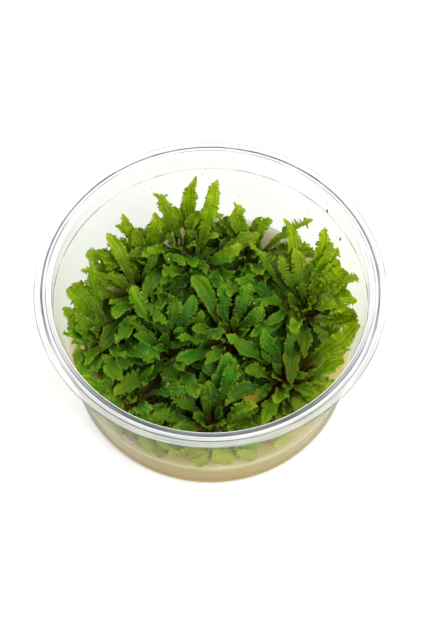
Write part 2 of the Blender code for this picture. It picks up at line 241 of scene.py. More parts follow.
def clear_plastic(name, darkening, haze_and_painted_white, roughness=0.08, painted_glow=0.0, broken=0.0):
    """A see-through finish. darkening is a ramp over 1 - cos(angle of view), painted shade where
    the plastic is looked along. The pair after it gives the share of a white layer high up and at
    the foot of the wall: dew haze on the thin wall, a painted highlight on the rim, streaked grey.
    The glow is light that the surface gives off itself, a painted highlight. broken is how far the
    painted darkening fades out in the gaps of a line that doesn't show all the way round."""
    finish, tree = new_finish(name)
    place, parts, out = place_nodes(tree)
    facing = add_node(tree, "LayerWeight", {"Blend": 0.5}).outputs["Facing"]
    # Painted shade: the light let through darkens with the angle of view.
    ramp = add_node(tree, "ValToRGB", {"Fac": facing}, stops=darkening)
    gaps = add_node(tree, "TexNoise", {"Vector": place, "Scale": GAP_FINENESS, "Detail": 3.0})
    gap_share = add_node(tree, "MapRange", {
        "Value": gaps, "From Min": 0.42, "From Max": 0.58, "To Max": broken})
    depth = add_node(tree, "Mix", {0: gap_share, 6: ramp, 7: linear("#FFFFFF")},
                     data_type="RGBA")
    straight = add_node(tree, "BsdfTransparent", {"Color": depth})
    mirror = add_node(tree, "BsdfAnisotropic", {
        "Color": linear("#E4E6EA"), "Roughness": roughness})
    steep = add_node(tree, "Math", {0: facing, 1: GRAZING}, operation="POWER")
    mirror_share = add_node(tree, "MapRange", {
        "Value": steep, "To Min": HEAD_ON, "To Max": LOOKED_ALONG})
    clear = add_node(tree, "MixShader", {0: mirror_share, 1: straight, 2: mirror})
    haze_white_top, haze_white_foot = haze_and_painted_white
    # A white layer: dew haze low on the thin wall, a painted highlight on the rim.
    haze_and_painted_white_share = add_node(tree, "MapRange", {
        "Value": parts["Z"], "From Min": DEW_TOP, "From Max": DEW_FULL,
        "To Min": haze_white_top, "To Max": haze_white_foot})
    fine_out = add_node(tree, "Math", {0: out, 1: STREAK_ACROSS}, operation="MULTIPLY")
    ring_place = add_node(tree, "CombineXYZ", {"Z": fine_out})
    streak_place = add_node(tree, "VectorMath", {0: place, 1: ring_place}, operation="ADD")
    streaks = add_node(tree, "TexNoise", {
        "Vector": streak_place, "Scale": STREAK_FINENESS, "Detail": 3.0})
    streak_share = add_node(tree, "MapRange", {
        "Value": streaks, "From Min": 0.52, "From Max": 0.68, "To Max": 0.45})
    streaked = add_node(tree, "Mix", {0: streak_share, 6: depth, 7: linear("#6E7078")},
                        data_type="RGBA")
    # The white layer, streaked grey, whose glow is a painted highlight.
    hazy_and_painted_white = add_node(tree, "BsdfPrincipled", {
        "Base Color": streaked, "Roughness": 0.35, "IOR": 1.59,
        "Emission Color": linear("#FFFFFF"), "Emission Strength": painted_glow})
    light = add_node(tree, "MixShader", {0: haze_and_painted_white_share, 1: clear, 2: hazy_and_painted_white})
    add_node(tree, "OutputMaterial", {"Surface": light})
    return finish


# Painted shade in every ramp, and on the rim a painted white highlight.
clear_wall = clear_plastic("clear_polystyrene_thin_wall", (
    (0.0, "#FCFDFC"), (0.55, "#FAFBF7"), (0.86, "#F3F4EC"), (0.96, "#C4C8B8"),
    (1.0, "#6A6E66")), (0.0, 0.025), roughness=0.04)
clear_bead = clear_plastic("clear_polystyrene_moulded_bead", (
    (0.0, "#FFFFFF"), (0.20, "#FBFCFD"), (0.30, "#D6D8DD"), (0.37, "#686B74"),
    (0.42, "#A6A8A8"), (0.47, "#B4B6B0"), (0.60, "#6A6D75"), (0.74, "#22262C"),
    (1.0, "#1C2026")), (0.85, 0.85))
clear_flange = clear_plastic("clear_polystyrene_flange", (
    (0.0, "#FDFDFC"), (0.25, "#FAFBF8"), (0.60, "#D0D2CE"), (0.85, "#7E8288"),
    (1.0, "#3C4046")), (0.5, 0.5))
# The mouth's edge is painted white and glows: a painted highlight.
clear_mouth = clear_plastic("clear_polystyrene_mouth_edge", (
    (0.0, "#FFFFFF"), (1.0, "#F0F2F6")), (0.85, 0.85), painted_glow=0.55)
# The ledge and the lip are painted dark lines, broken by gaps.
clear_ledge = clear_plastic("clear_polystyrene_ledge_edge", (
    (0.0, "#DADCE0"), (0.3, "#B4B6BC"), (1.0, "#82858C")), (0.3, 0.3), broken=0.85)
clear_lip = clear_plastic("clear_polystyrene_sharp_lip", (
    (0.0, "#BCBEC2"), (0.3, "#96989E"), (1.0, "#64676E")), (0.3, 0.3), broken=0.7)
print(f"six clear finishes of {len(clear_wall.node_tree.nodes)} nodes each")

# %% [markdown]
# ## Turning an outline
#
# A cup is round, so it is drawn as an outline beside its axis, of straight sides and arcs, and
# carried round. That could be a Screw modifier. Here the outline is an array, so that every
# corner can first be rounded by a formula, as a mould's corners are.

# %% Outlines
def arc(centre_x, centre_z, radius, start, end, steps):
    """Points on an arc of the outline, with its angles in degrees from the outward axis."""
    angles = np.radians(np.linspace(start, end, steps + 1))
    return np.stack((centre_x + radius * np.cos(angles), centre_z + radius * np.sin(angles)), 1)


def rounded(corner_points, radius, steps=5):
    """Rounds each corner of an outline: the corner is replaced by the curve that starts and
    ends radius away from it, or 0.45 of the way along a shorter side, and has the corner as
    its middle control point."""
    before, corner, after = corner_points[:-2], corner_points[1:-1], corner_points[2:]

    def cut(towards):
        way = towards - corner
        length = np.linalg.norm(way, axis=1, keepdims=True)
        return corner + way * np.minimum(0.45, radius / length)

    t = np.linspace(0.0, 1.0, steps)[None, :, None]
    start, end = cut(before)[:, None], cut(after)[:, None]
    curve = (1 - t) ** 2 * start + 2 * t * (1 - t) * corner[:, None] + t ** 2 * end
    return np.concatenate((corner_points[:1], curve.reshape(-1, 2), corner_points[-1:]))


def spaced(outline, longest):
    """Puts points on the straight sides of an outline, evenly, so that no side is longer."""
    sides = np.diff(outline, axis=0)
    counts = np.ceil(np.linalg.norm(sides, axis=1) / longest).astype(int)
    parts = [start + side * np.arange(count)[:, None] / count
             for start, side, count in zip(outline[:-1], sides, counts)]
    return np.concatenate((*parts, outline[-1:]))


def turned(name, outline, around):
    """A turned piece: each point of the outline goes round the axis. Its first and last
    points lie on the axis and close it. The outline runs anticlockwise round the material,
    seen with the axis on the left, so the faces point outwards."""
    grid = round_axis(outline[1:-1, :1], full_turn(around)[::-1], outline[1:-1, 1:])[None]
    low, high = (np.array([[0.0, 0.0, height]]) for height in outline[[0, -1], 1])
    return tube_object(name, low, grid, high)


# %% [markdown]
# ## The cup
#
# The real cup is one moulding: a flat base with round corners, a wall that leans out, a ledge
# that stops the lid's plug, a mouth, a raised bead and a flange with a short skirt. Its parts
# could be modelled one by one and joined, but one outline has them all, with no seams.

# %% Cup outline
rim_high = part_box("culture_cup")[1]
RIM_RADIUS = rim_high.x
CUP_HEIGHT = rim_high.z
WALL = 0.8 * MM
FLOOR = 1.0 * MM
BASE_RADIUS = 41.5 * MM
BASE_CORNER = 3.5 * MM
BASE_FLAT = 0.6             # share of the base's radius with no points of its own
LEDGE_Z = 40.2 * MM
LEDGE_STEP = 0.4 * MM
PLUG_RADIUS = 45.4 * MM
MOUTH_RADIUS = 45.2 * MM
MOUTH_Z = 46.5 * MM
MOUTH_WIDTH = 0.5 * MM      # of the bright edge of the mouth
MOUTH_DEPTH = 0.35 * MM
CREST_RADIUS = 47.3 * MM
FLANGE_THICK = 1.5 * MM
SKIRT_DEPTH = 2.0 * MM
SKIRT_THICK = 0.7 * MM
BEAD_SLOPE = 0.75 * MM      # width of the bead's outer slope
BEAD_HEIGHT = 0.75 * MM     # of the bead over the flange
EDGE_WIDTH = 0.3 * MM       # of the flange's sharp outer edge
EDGE_DROP = 0.1 * MM        # how far that edge leans down
GROOVE_INNER = 0.82 * MM    # a fine tool mark in the bead, from here
GROOVE_OUTER = 0.56 * MM    # to here inside the crest
CORNER_ROUND = 0.35 * MM
LONGEST_SIDE = 2.0 * MM     # of the outline, so that a corner's shading doesn't spread further
CUP_AROUND = 240
CORNER_STEPS = 10


def wall_radius(z):
    """The inner radius of the leaning wall at height z."""
    share = np.clip((z - BASE_CORNER) / (LEDGE_Z - LEDGE_STEP - BASE_CORNER), 0.0, 1.0)
    return BASE_RADIUS - WALL + (PLUG_RADIUS - LEDGE_STEP - BASE_RADIUS + WALL) * share


inner_corner = BASE_CORNER - WALL
under_flange = CUP_HEIGHT - FLANGE_THICK
flange_top = CUP_HEIGHT - BEAD_HEIGHT
bead_foot = CREST_RADIUS + BEAD_SLOPE
inside = [(PLUG_RADIUS - LEDGE_STEP, LEDGE_Z - LEDGE_STEP), (PLUG_RADIUS, LEDGE_Z),
          (MOUTH_RADIUS, MOUTH_Z)]
groove = [(CREST_RADIUS - inward, CUP_HEIGHT - inward * (CUP_HEIGHT - MOUTH_Z)
           / (CREST_RADIUS - MOUTH_RADIUS)) for inward in (GROOVE_INNER, GROOVE_OUTER)]
bead = groove + [(CREST_RADIUS, CUP_HEIGHT), (bead_foot, flange_top)]
flange = [(RIM_RADIUS - EDGE_WIDTH, flange_top), (RIM_RADIUS, flange_top - EDGE_DROP),
          (RIM_RADIUS, CUP_HEIGHT - SKIRT_DEPTH),
          (RIM_RADIUS - SKIRT_THICK, CUP_HEIGHT - SKIRT_DEPTH),
          (RIM_RADIUS - SKIRT_THICK, under_flange)]
outside = [(PLUG_RADIUS + WALL, under_flange), (PLUG_RADIUS + WALL, LEDGE_Z),
           (PLUG_RADIUS + WALL - LEDGE_STEP, LEDGE_Z - LEDGE_STEP)]
cup_outline = spaced(np.concatenate((
    [(0.0, FLOOR), (BASE_FLAT * BASE_RADIUS, FLOOR)],
    arc(BASE_RADIUS - BASE_CORNER, FLOOR + inner_corner, inner_corner, -90, 0, CORNER_STEPS),
    rounded(np.array(inside + bead + flange + outside), CORNER_ROUND),
    arc(BASE_RADIUS - BASE_CORNER, BASE_CORNER, BASE_CORNER, 0, -90, CORNER_STEPS),
    [(BASE_FLAT * BASE_RADIUS, 0.0), (0.0, 0.0)],
)), LONGEST_SIDE)
cup = turned("cup", cup_outline, CUP_AROUND)
print(f"cup: outline of {len(cup_outline)} points, {len(cup.data.polygons)} faces")

# %% [markdown]
# ## Finishes of the cup's faces
#
# A clear cup is known by the lines of its rim, so each moulded edge there has its own painted
# highlight and painted shade. The edges could be pieces of their own, but then they would show
# seams, so each face takes its finish from the radius and height of its middle.

# %% Cup finishes
for finish in (clear_wall, clear_bead, clear_flange, clear_lip, clear_mouth, clear_ledge):
    cup.data.materials.append(finish)
middles = np.empty(len(cup.data.polygons) * 3)
cup.data.polygons.foreach_get("center", middles)
middles = middles.reshape(-1, 3)
out, high = np.hypot(middles[:, 0], middles[:, 1]), middles[:, 2]
on_top = high > flange_top - 2 * EDGE_DROP
on_edge = on_top & (out > RIM_RADIUS - EDGE_WIDTH)
on_foot = on_top & (np.abs(out - bead_foot) < 0.5 * EDGE_WIDTH)
on_groove = on_top & (out > CREST_RADIUS - GROOVE_INNER) & (out < CREST_RADIUS - GROOVE_OUTER)
on_mouth = (out < MOUTH_RADIUS + MOUTH_WIDTH) & (high > MOUTH_Z - MOUTH_DEPTH)
on_ledge = (out < PLUG_RADIUS) & (np.abs(high - LEDGE_Z + 0.5 * LEDGE_STEP) < 0.3 * LEDGE_STEP)
# Each group of faces gets its finish's painted highlight and painted shade.
finish_number = np.select(
    (on_mouth, on_ledge, on_edge | on_foot | on_groove, on_top & (out < bead_foot), on_top),
    (4, 5, 3, 1, 2), 0)
cup.data.polygons.foreach_set("material_index", finish_number.astype(np.int32))
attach(cup, "root")
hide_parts("culture_cup")
print("faces of each finish:", np.bincount(finish_number).tolist())

# %% [markdown]
# ## The gel's finish: agar
#
# The gel is agar in a nutrient broth, poured hot and set. It is cloudy, with a wet, smooth
# skin. Its colour runs from brown low down, where it is thick, to cream at the top, which is
# painted light, for the light that comes through the gel. Light goes a few millimetres into it,
# so it has soft subsurface scattering, which gives the eye a glow at its edges in place of a
# hard surface. Under the plants, away from the wall, its top is darker and greener: painted
# shade, with fine roots and a green film. Towards the back, near its top, it is greyer.

# %% Agar
CLOUD_FINENESS = 90.0   # noise cells to the metre: clouds in the gel are 11 mm across

agar, tree = new_finish("set_agar_gel")
place, parts, out = place_nodes(tree)
clouds = add_node(tree, "TexNoise", {"Vector": place, "Scale": CLOUD_FINENESS, "Detail": 3.0})
cloudy_height = add_node(tree, "Math", {0: clouds, 1: 3 * MM, 2: parts["Z"]},
                         operation="MULTIPLY_ADD")
# Painted light: cream at the top, browner low down, for the light coming through the gel.
depth = add_node(tree, "MapRange", {
    "Value": cloudy_height, "From Min": 2 * MM, "From Max": 18 * MM})
# Painted shade under the plants, with roots and a green film: darker and greener away from the
# wall.
roots_and_painted_shade = add_node(tree, "MapRange", {
    "Value": out, "From Min": 38 * MM, "From Max": 30 * MM, "To Max": 0.8})
in_skin = add_node(tree, "MapRange", {
    "Value": parts["Z"], "From Min": 13 * MM, "From Max": 16 * MM, "To Max": 0.75})
at_back = add_node(tree, "MapRange", {
    "Value": parts["Y"], "From Min": 18 * MM, "From Max": 34 * MM, "To Max": in_skin})
gel_colour = add_node(tree, "ValToRGB", {"Fac": depth}, stops=(
    (0.0, "#7A642C"), (0.18, "#AA9450"), (0.75, "#BEA24E"), (0.95, "#F0E0AE")))
for share, tint in ((roots_and_painted_shade, "#5E6A22"), (at_back, "#B2ACA0")):
    gel_colour = add_node(tree, "Mix", {0: share, 6: gel_colour, 7: linear(tint)},
                          data_type="RGBA")
gel_body = add_node(tree, "BsdfPrincipled", {
    "Base Color": gel_colour, "Roughness": 0.22, "IOR": 1.34, "Subsurface Weight": 1.0,
    "Subsurface Radius": (1.0, 0.92, 0.7), "Subsurface Scale": 14 * MM})
add_node(tree, "OutputMaterial", {"Surface": gel_body})
print(f"{agar.name}: {len(tree.nodes)} nodes")

# %% [markdown]
# ## The gel
#
# The gel has taken the shape of the cup's bottom. Its top slopes a little, because the cup
# stood out of level while it set, and it climbs the wall in a small meniscus. The whole skin
# is one tube: out along the top, down the wall and back under the base. It could be cut from
# a solid with a Boolean, but a formula gives the meniscus its thin edge.

# %% Gel
GEL_DEPTH = 16.0 * MM
GEL_SLOPE = 0.035
SWELL_HEIGHT = 0.15 * MM
SWELL_SIZES = (7 * MM, 9 * MM)  # of the swells along x and y
MENISCUS = 1.1 * MM
MENISCUS_WIDTH = 1.0 * MM
GEL_AROUND = 160
WALL_ROWS = 12
IN_WALL = 0.04 * MM     # the gel wets the wall, so no sheet of air is left between them
IN_CORNER = 0.55 * MM   # the thick corner's lens makes the gel seem to fill it, so it does
CORNER_FROM = -12       # in degrees, where the gel's skin turns into the corner


def gel_top(y):
    """Height of the gel's flat surface at y."""
    return GEL_DEPTH + GEL_SLOPE * y


def gel_skin():
    """The poles and grid of the gel's tube. The top's height is gel_top plus the meniscus,
    which falls off from the wall as exp(-distance / width), plus shallow swells. Its rings lie
    closest in the meniscus. Below it the tube follows the inside of the cup."""
    angle = full_turn(GEL_AROUND)[::-1]
    top_radius = wall_radius(np.array(GEL_DEPTH)) + IN_WALL
    share = np.concatenate((np.linspace(0.02, 0.9, 40), np.linspace(0.91, 1.0, 24)))[:, None]
    radius = share * top_radius
    x, y = radius * np.cos(angle), radius * np.sin(angle)
    swell = SWELL_HEIGHT * np.sin(x / SWELL_SIZES[0] + 1.0) * np.sin(y / SWELL_SIZES[1])
    height = gel_top(y) + MENISCUS * np.exp((radius - top_radius) / MENISCUS_WIDTH) + swell
    z = BASE_CORNER + (height[-1] - BASE_CORNER) * np.linspace(1.0, 0.0, WALL_ROWS)[1:, None]
    bend = arc(BASE_RADIUS - BASE_CORNER, FLOOR + inner_corner, inner_corner + IN_CORNER,
               CORNER_FROM, -90, 8)
    low = np.concatenate((bend, [(0.5 * BASE_RADIUS, bend[-1, 1])]))
    grid = np.concatenate((round_axis(radius, angle, height),
                           round_axis(wall_radius(z) + IN_WALL, angle, z),
                           round_axis(low[:, :1], angle, low[:, 1:])))[None]
    return np.array([[0.0, 0.0, GEL_DEPTH]]), grid, np.array([[0.0, 0.0, bend[-1, 1]]])


gel_tube = gel_skin()
gel_piece = tube_object("gel", *gel_tube)
gel_piece.data.materials.append(agar)
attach(gel_piece, "root")
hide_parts("agar_gel")
print(f"gel: {len(gel_piece.data.polygons)} faces, top at {gel_tube[1][..., 2].max() / MM:.1f} mm")

# %% [markdown]
# ## The leaves' finish: living leaf tissue
#
# A downoi leaf is thin and wet. Light shines through it, which with painted light makes the
# leaves at the rim lime green, and pleats run along it as darker streaks beside a paler midrib
# and faint, slanting side veins. Leaf stalks are brown to crimson. The pattern follows the leaf,
# so it reads the leaf's own UV map: U runs from the foot to the tip, and V from one margin to
# the other. Three attributes hold a value for the whole leaf: how much painted light it has,
# partly for tissue grown in light, how red it is and how old. Two more say for each point how
# much painted shade it gets deep among the other leaves, and how much painted light low by the
# wall. Together they give the eye a planting that is painted lit at its edge and painted dark
# in its middle.

# %% Leaf tissue
PLEATS = 11.0           # noise cells across the leaf: half a millimetre each on a blade of 6
PLEAT_STRETCH = 1.6     # and along it, which draws them out into streaks
LEAF_VEINS = 11.0       # pairs of side veins on a leaf
VEIN_SLANT = 7.0        # how steeply they run forward to the margin
BLOTCH_FINENESS = 330.0     # noise cells to the metre: blotches are 3 mm across
BLISTER_FINENESS = 1300.0   # blisters of 0.8 mm, coarser than the real ones, so that they show

leaf_tissue, tree = new_finish("living_leaf_tissue")
place = add_node(tree, "TexCoord").outputs["Object"]
blade_map = add_node(tree, "UVMap", uv_map="blade")
blade_uv = add_node(tree, "SeparateXYZ", {"Vector": blade_map}).outputs
trait = {name: add_node(tree, "Attribute", attribute_name=name).outputs["Fac"]
         for name in ("light", "red", "age", "painted_shade", "painted_wall_light")}

# The green along the leaf, as a shaded and a lit copy: tissue grown in shade and in light, and
# painted shade and painted light.
shade_green = add_node(tree, "ValToRGB", {"Fac": blade_uv["X"]}, stops=(
    (0.0, "#3A380C"), (0.2, "#1E5E12"), (0.5, "#2E9018"), (0.85, "#62BA1A"), (1.0, "#A6DC24")))
light_green = add_node(tree, "ValToRGB", {"Fac": blade_uv["X"]}, stops=(
    (0.0, "#5E540E"), (0.2, "#52920E"), (0.5, "#9ECA08"), (0.85, "#D8EE0C"), (1.0, "#F0FA20")))

# Pleats are noise drawn out along the leaf, with the leaf's painted light as a number of its own.
streak_u = add_node(tree, "Math", {0: blade_uv["X"], 1: PLEAT_STRETCH}, operation="MULTIPLY")
streak_v = add_node(tree, "Math", {0: blade_uv["Y"], 1: PLEATS}, operation="MULTIPLY")
own_number = add_node(tree, "Math", {0: trait["light"], 1: 60.0}, operation="MULTIPLY")
streak_place = add_node(tree, "CombineXYZ", {"X": streak_u, "Y": streak_v, "Z": own_number})
pleats = add_node(tree, "TexNoise", {"Vector": streak_place, "Scale": 1.0, "Detail": 2.0})
pleat_share = add_node(tree, "MapRange", {
    "Value": pleats, "From Min": 0.45, "From Max": 0.65, "To Max": 0.6})
blotches = add_node(tree, "TexNoise", {
    "Vector": place, "Scale": BLOTCH_FINENESS, "Detail": 4.0})
blotch_share = add_node(tree, "MapRange", {
    "Value": blotches, "From Min": 0.45, "From Max": 0.75, "To Max": 0.35})

# The distance from the midrib, up to a half, gives the midrib, the side veins and the margin.
from_middle = add_node(tree, "Math", {0: blade_uv["Y"], 1: 0.5}, operation="SUBTRACT")
outwards = add_node(tree, "Math", {0: from_middle}, operation="ABSOLUTE")
vein_start = add_node(tree, "Math", {0: blade_uv["X"], 1: LEAF_VEINS}, operation="MULTIPLY")
vein_slant = add_node(tree, "Math", {0: outwards, 1: -VEIN_SLANT, 2: vein_start},
                      operation="MULTIPLY_ADD")
vein_repeat = add_node(tree, "Math", {0: vein_slant, 1: 1.0}, operation="PINGPONG")
side_veins = add_node(tree, "MapRange", {
    "Value": vein_repeat, "From Min": 0.22, "From Max": 0.0, "To Max": 0.06})
midrib = add_node(tree, "MapRange", {
    "Value": outwards, "From Min": 0.06, "From Max": 0.015, "To Max": 0.5})
veins = add_node(tree, "Math", {0: side_veins, 1: midrib}, operation="MAXIMUM")
margin = add_node(tree, "MapRange", {
    "Value": outwards, "From Min": 0.30, "From Max": 0.5, "To Max": 0.6})

# Painted shade makes tissue deep among the leaves nearly black, and painted light makes tips low
# by the wall pale.
painted_shade_share = add_node(tree, "Math", {0: trait["painted_shade"], 1: 0.93}, operation="MULTIPLY")
painted_wall_light_share = add_node(tree, "Math", {0: trait["painted_wall_light"], 1: 0.9}, operation="MULTIPLY")

# The stalk: brown, or crimson on the redder plants, fading out up the midrib.
stalk_reach = add_node(tree, "Math", {0: outwards, 1: 0.45, 2: blade_uv["X"]},
                       operation="MULTIPLY_ADD")
stalk_strength = add_node(tree, "MapRange", {"Value": trait["red"], "To Min": 0.5})
stalk_share = add_node(tree, "MapRange", {
    "Value": stalk_reach, "From Min": 0.54, "From Max": 0.20, "To Max": stalk_strength})
stalk_colour = add_node(tree, "Mix", {
    0: trait["red"], 6: linear("#7E6228"), 7: linear("#821A24")}, data_type="RGBA")

# An old leaf has lost its green: crimson at the foot, then orange and tan.
old_colour = add_node(tree, "ValToRGB", {"Fac": blade_uv["X"]}, stops=(
    (0.0, "#6A1418"), (0.3, "#96420E"), (0.6, "#C49A1E"), (1.0, "#DCCC62")))
print(f"{leaf_tissue.name}: {len(tree.nodes)} nodes for its patterns")

# %% [markdown]
# ## The leaf's colour and skin
#
# The colours lie over one another: green flesh, darker pleats, yellower blotches, paler veins
# and margin, painted shade and painted light, and stalk and age over all. They could be painted
# on each leaf, but layers that each cover the ones before by a share suit every leaf. The skin is
# wet, so it shines with the index of water, and part of the light goes through.

# %% Leaf colour and skin
tissue = shade_green
for share, colour in (
        (trait["light"], light_green), (pleat_share, linear("#1A5A10")),
        (blotch_share, linear("#8CB010")), (veins, linear("#8CA81E")),
        # the near-black colour is painted shade, the pale yellow painted light
        (margin, linear("#C4E83A")), (painted_shade_share, linear("#082A04")),
        (painted_wall_light_share, linear("#FAFA58")), (stalk_share, stalk_colour),
        (trait["age"], old_colour)):
    tissue = add_node(tree, "Mix", {0: share, 6: tissue, 7: colour}, data_type="RGBA")

# Blisters and pleats raise the wet skin, which is glossier in the blotches.
blister_bump = add_node(tree, "Bump", {
    "Height": add_node(tree, "TexNoise", {
        "Vector": place, "Scale": BLISTER_FINENESS, "Detail": 2.0}),
    "Strength": 1.0, "Distance": 0.35 * MM})
pleat_bump = add_node(tree, "Bump", {
    "Height": pleats, "Strength": 0.5, "Distance": 0.4 * MM, "Normal": blister_bump})
wetness = add_node(tree, "MapRange", {
    "Value": blotches, "From Min": 0.5, "From Max": 0.62, "To Min": 0.45, "To Max": 0.15})
wet_leaf = add_node(tree, "BsdfPrincipled", {
    "Base Color": tissue, "Roughness": wetness, "IOR": 1.33, "Normal": pleat_bump})
through = add_node(tree, "Mix", {0: 0.25, 6: tissue, 7: linear("#A6D00A")}, data_type="RGBA")
lit_through = add_node(tree, "BsdfTranslucent", {"Color": through})
leaf_light = add_node(tree, "MixShader", {0: 0.45, 1: wet_leaf, 2: lit_through})
add_node(tree, "OutputMaterial", {"Surface": leaf_light})
print(f"{leaf_tissue.name}: {len(tree.nodes)} nodes in all")

# %% [markdown]
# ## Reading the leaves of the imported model
#
# Each grown leaf of the model is a plain solid: rings of four points that end in one sharp
# tip. A crown is a stem with several young leaves of the same kind on it. Walking from each
# tip ring by ring finds the middle line and the width of every leaf, so the fine leaf can be
# grown along the same line. The mesh comes as loose triangles, so its points are merged first.

# %% Middle lines of the leaves
GROWN_PLACES = [ring / 8 for ring in range(8)]  # of the rings along a grown leaf
YOUNG_PLACES = [0.0, 0.33, 0.68]
TIP_SHARPNESS = 0.74    # length of the mean of the unit vectors along a tip's edges


def welded(name):
    """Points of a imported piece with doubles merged, and which of them an edge joins."""
    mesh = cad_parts[name].data
    points = np.empty(len(mesh.vertices) * 3)
    mesh.vertices.foreach_get("co", points)
    corners = np.empty(len(mesh.loops), dtype=np.int64)
    mesh.loops.foreach_get("vertex_index", corners)
    points, merged = np.unique(points.reshape(-1, 3).round(7), axis=0, return_inverse=True)
    triangles = merged.reshape(-1)[corners].reshape(-1, 3)
    joined = np.zeros((len(points), len(points)), dtype=bool)
    for side in range(3):
        joined[triangles[:, side], triangles[:, side - 1]] = True
    return points, joined | joined.T


def sharp_tips(points, joined):
    """Points with four edges that all run back the same way, sharpest first."""
    edges = points[None] - points[:, None]
    length = np.linalg.norm(edges, axis=2, keepdims=True)
    ways = np.where(joined[:, :, None], edges / np.maximum(length, 1e-9), 0.0)
    four = joined.sum(axis=1) == 4
    sharpness = np.where(four, np.linalg.norm(ways.sum(axis=1), axis=1) / 4, 0.0)
    order = np.argsort(-sharpness)
    return order[sharpness[order] > TIP_SHARPNESS]


def rings_back(joined, tip, count):
    """The rings of four points behind a tip, nearest first."""
    seen = np.zeros(len(joined), dtype=bool)
    seen[tip] = True
    ring, rings = np.array([tip]), []
    for _ in range(count):
        near = joined[ring].any(axis=0) & ~seen
        seen |= near
        ring = np.flatnonzero(near)
        rings.append(ring)
    return rings


def middle_line(points, rings, tip, places):
    """Foot, bend, tip and width of a leaf. The middle line is the curve
    (1-t)^2 foot + 2t(1-t) bend + t^2 tip, whose bend is the least-squares fit to the rings'
    middles at their places t. A ring's middle lies between the two points that aren't its
    farthest pair, and that pair is the width."""
    loops = points[np.array(rings[::-1])]
    apart = np.linalg.norm(loops[:, :, None] - loops[:, None], axis=3)
    pair = np.array([np.unravel_index(a.argmax(), a.shape) for a in apart])
    rest = np.array([np.setdiff1d(range(4), p) for p in pair])
    middles = loops[np.arange(len(loops))[:, None], rest].mean(axis=1)
    foot, end = middles[0], points[tip]
    t = np.array(places)[1:, None]
    pull = 2 * t * (1 - t)
    bend = (pull * (middles[1:] - (1 - t) ** 2 * foot - t ** 2 * end)).sum(0) / (pull ** 2).sum()
    return foot, bend, end, apart[1:].max()


def leaf_lines(name, places):
    """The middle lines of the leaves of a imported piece. A true tip has rings of four behind
    it all the way, so a sharp tooth that looks like a tip drops out."""
    points, joined = welded(name)
    walks = [(tip, rings_back(joined, tip, len(places))) for tip in sharp_tips(points, joined)]
    return [middle_line(points, rings, tip, places) for tip, rings in walks
            if all(len(ring) == 4 for ring in rings)]


grown = {name: leaf_lines(name, GROWN_PLACES)[0] for name in leaf_names}
young = {name: leaf_lines(name, YOUNG_PLACES) for name in crown_names}
lengths = [np.linalg.norm(line[2] - line[0]) / MM for line in grown.values()]
print(f"grown leaves: {min(lengths):.1f} to {max(lengths):.1f} mm")
print("young leaves:", {name: len(lines) for name, lines in young.items()})

# %% [markdown]
# ## The middle line as a formula
#
# A leaf doesn't keep to the plain line of the model. Its end curls, it sways from side to side,
# and its blade turns round its line. Curves could be drawn for that one by one, but a formula
# bends many leaves at once: every array below has the leaves as its first axis.

# %% Bent middle lines
ROOT = 1.5 * MM         # how far the stalk runs on into the stem
TURN = 0.75             # of the blade at the tip, in radians at most
CURL_SPREAD = 0.45      # how much the curl of two leaves may differ either way
SWAY = 0.07             # of the middle line to the side, as a share of the length
WIGGLE = 0.5 * MM       # and how far it wanders besides


def unit(vectors):
    return vectors / np.linalg.norm(vectors, axis=-1, keepdims=True)


def wander(rng, t, shape, rates):
    """A slow random curve along t: the sum of a sine at each of the rates, with a random
    start and a random share between a half and one, over the number of rates."""
    sines = [rng.uniform(0.5, 1.0, shape) * np.sin(
        2 * np.pi * (rate * t + rng.uniform(0, 1, shape))) for rate in rates]
    return sum(sines) / len(rates)


def bent_lines(feet, bends, tips, rng, rows, curl):
    """Places t, points and the directions along, aside and up, for each leaf and row.

    t runs from a little under 0, in the stem, to 1 at the tip, on the curve (1-t)^2 foot +
    2t(1-t) bend + t^2 tip. The line moves up by the curl times the length times the square of
    what of t is past a half, and aside by the sway times sin(2 pi t) and by the wiggle times t
    times a random wander. Aside and up turn round the line by the turn times t^2."""
    count = len(feet)
    length = np.linalg.norm(tips - feet, axis=1)[:, None]
    t = np.linspace(0.0, 1.0, rows)[None]
    t = t * (1 + ROOT / length) - ROOT / length
    on_leaf = np.clip(t, 0.0, 1.0)
    t3 = t[:, :, None]
    f3, b3, e3 = feet[:, None], bends[:, None], tips[:, None]
    line = (1 - t3) ** 2 * f3 + 2 * t3 * (1 - t3) * b3 + t3 ** 2 * e3
    along = unit(2 * (1 - t3) * (b3 - f3) + 2 * t3 * (e3 - b3))
    side = unit(np.cross((0.0, 0.0, 1.0), tips - feet))[:, None] + 0 * along
    side = unit(side - (side * along).sum(-1, keepdims=True) * along)
    up = np.cross(along, side)
    turn = (rng.uniform(-TURN, TURN, (count, 1)) * on_leaf ** 2)[:, :, None]
    past_half = np.clip(t - 0.5, 0, 1)
    bent = (curl + rng.uniform(-CURL_SPREAD, CURL_SPREAD, (count, 1))) * past_half ** 2 * length
    sway = rng.uniform(-SWAY, SWAY, (count, 1)) * np.sin(2 * np.pi * on_leaf) * length
    sway = sway + WIGGLE * on_leaf * wander(rng, t, (count, 1), (1.7, 3.1, 4.6))
    line = line + up * bent[:, :, None] + side * sway[:, :, None]
    side, up = side * np.cos(turn) + up * np.sin(turn), up * np.cos(turn) - side * np.sin(turn)
    return t, line, along, side, up


# %% [markdown]
# ## Leaves against the wall and the gel
#
# Leaves that reach the wall or the gel lean on it and are pressed flat. A cloth simulation
# could press them, but a formula that slows each point down as it comes near does the same,
# and never lets one through.

# %% Pressed leaves
PRESS_SPACE = 0.9 * MM      # leaves that lean on the wall or the gel are pressed flat in this


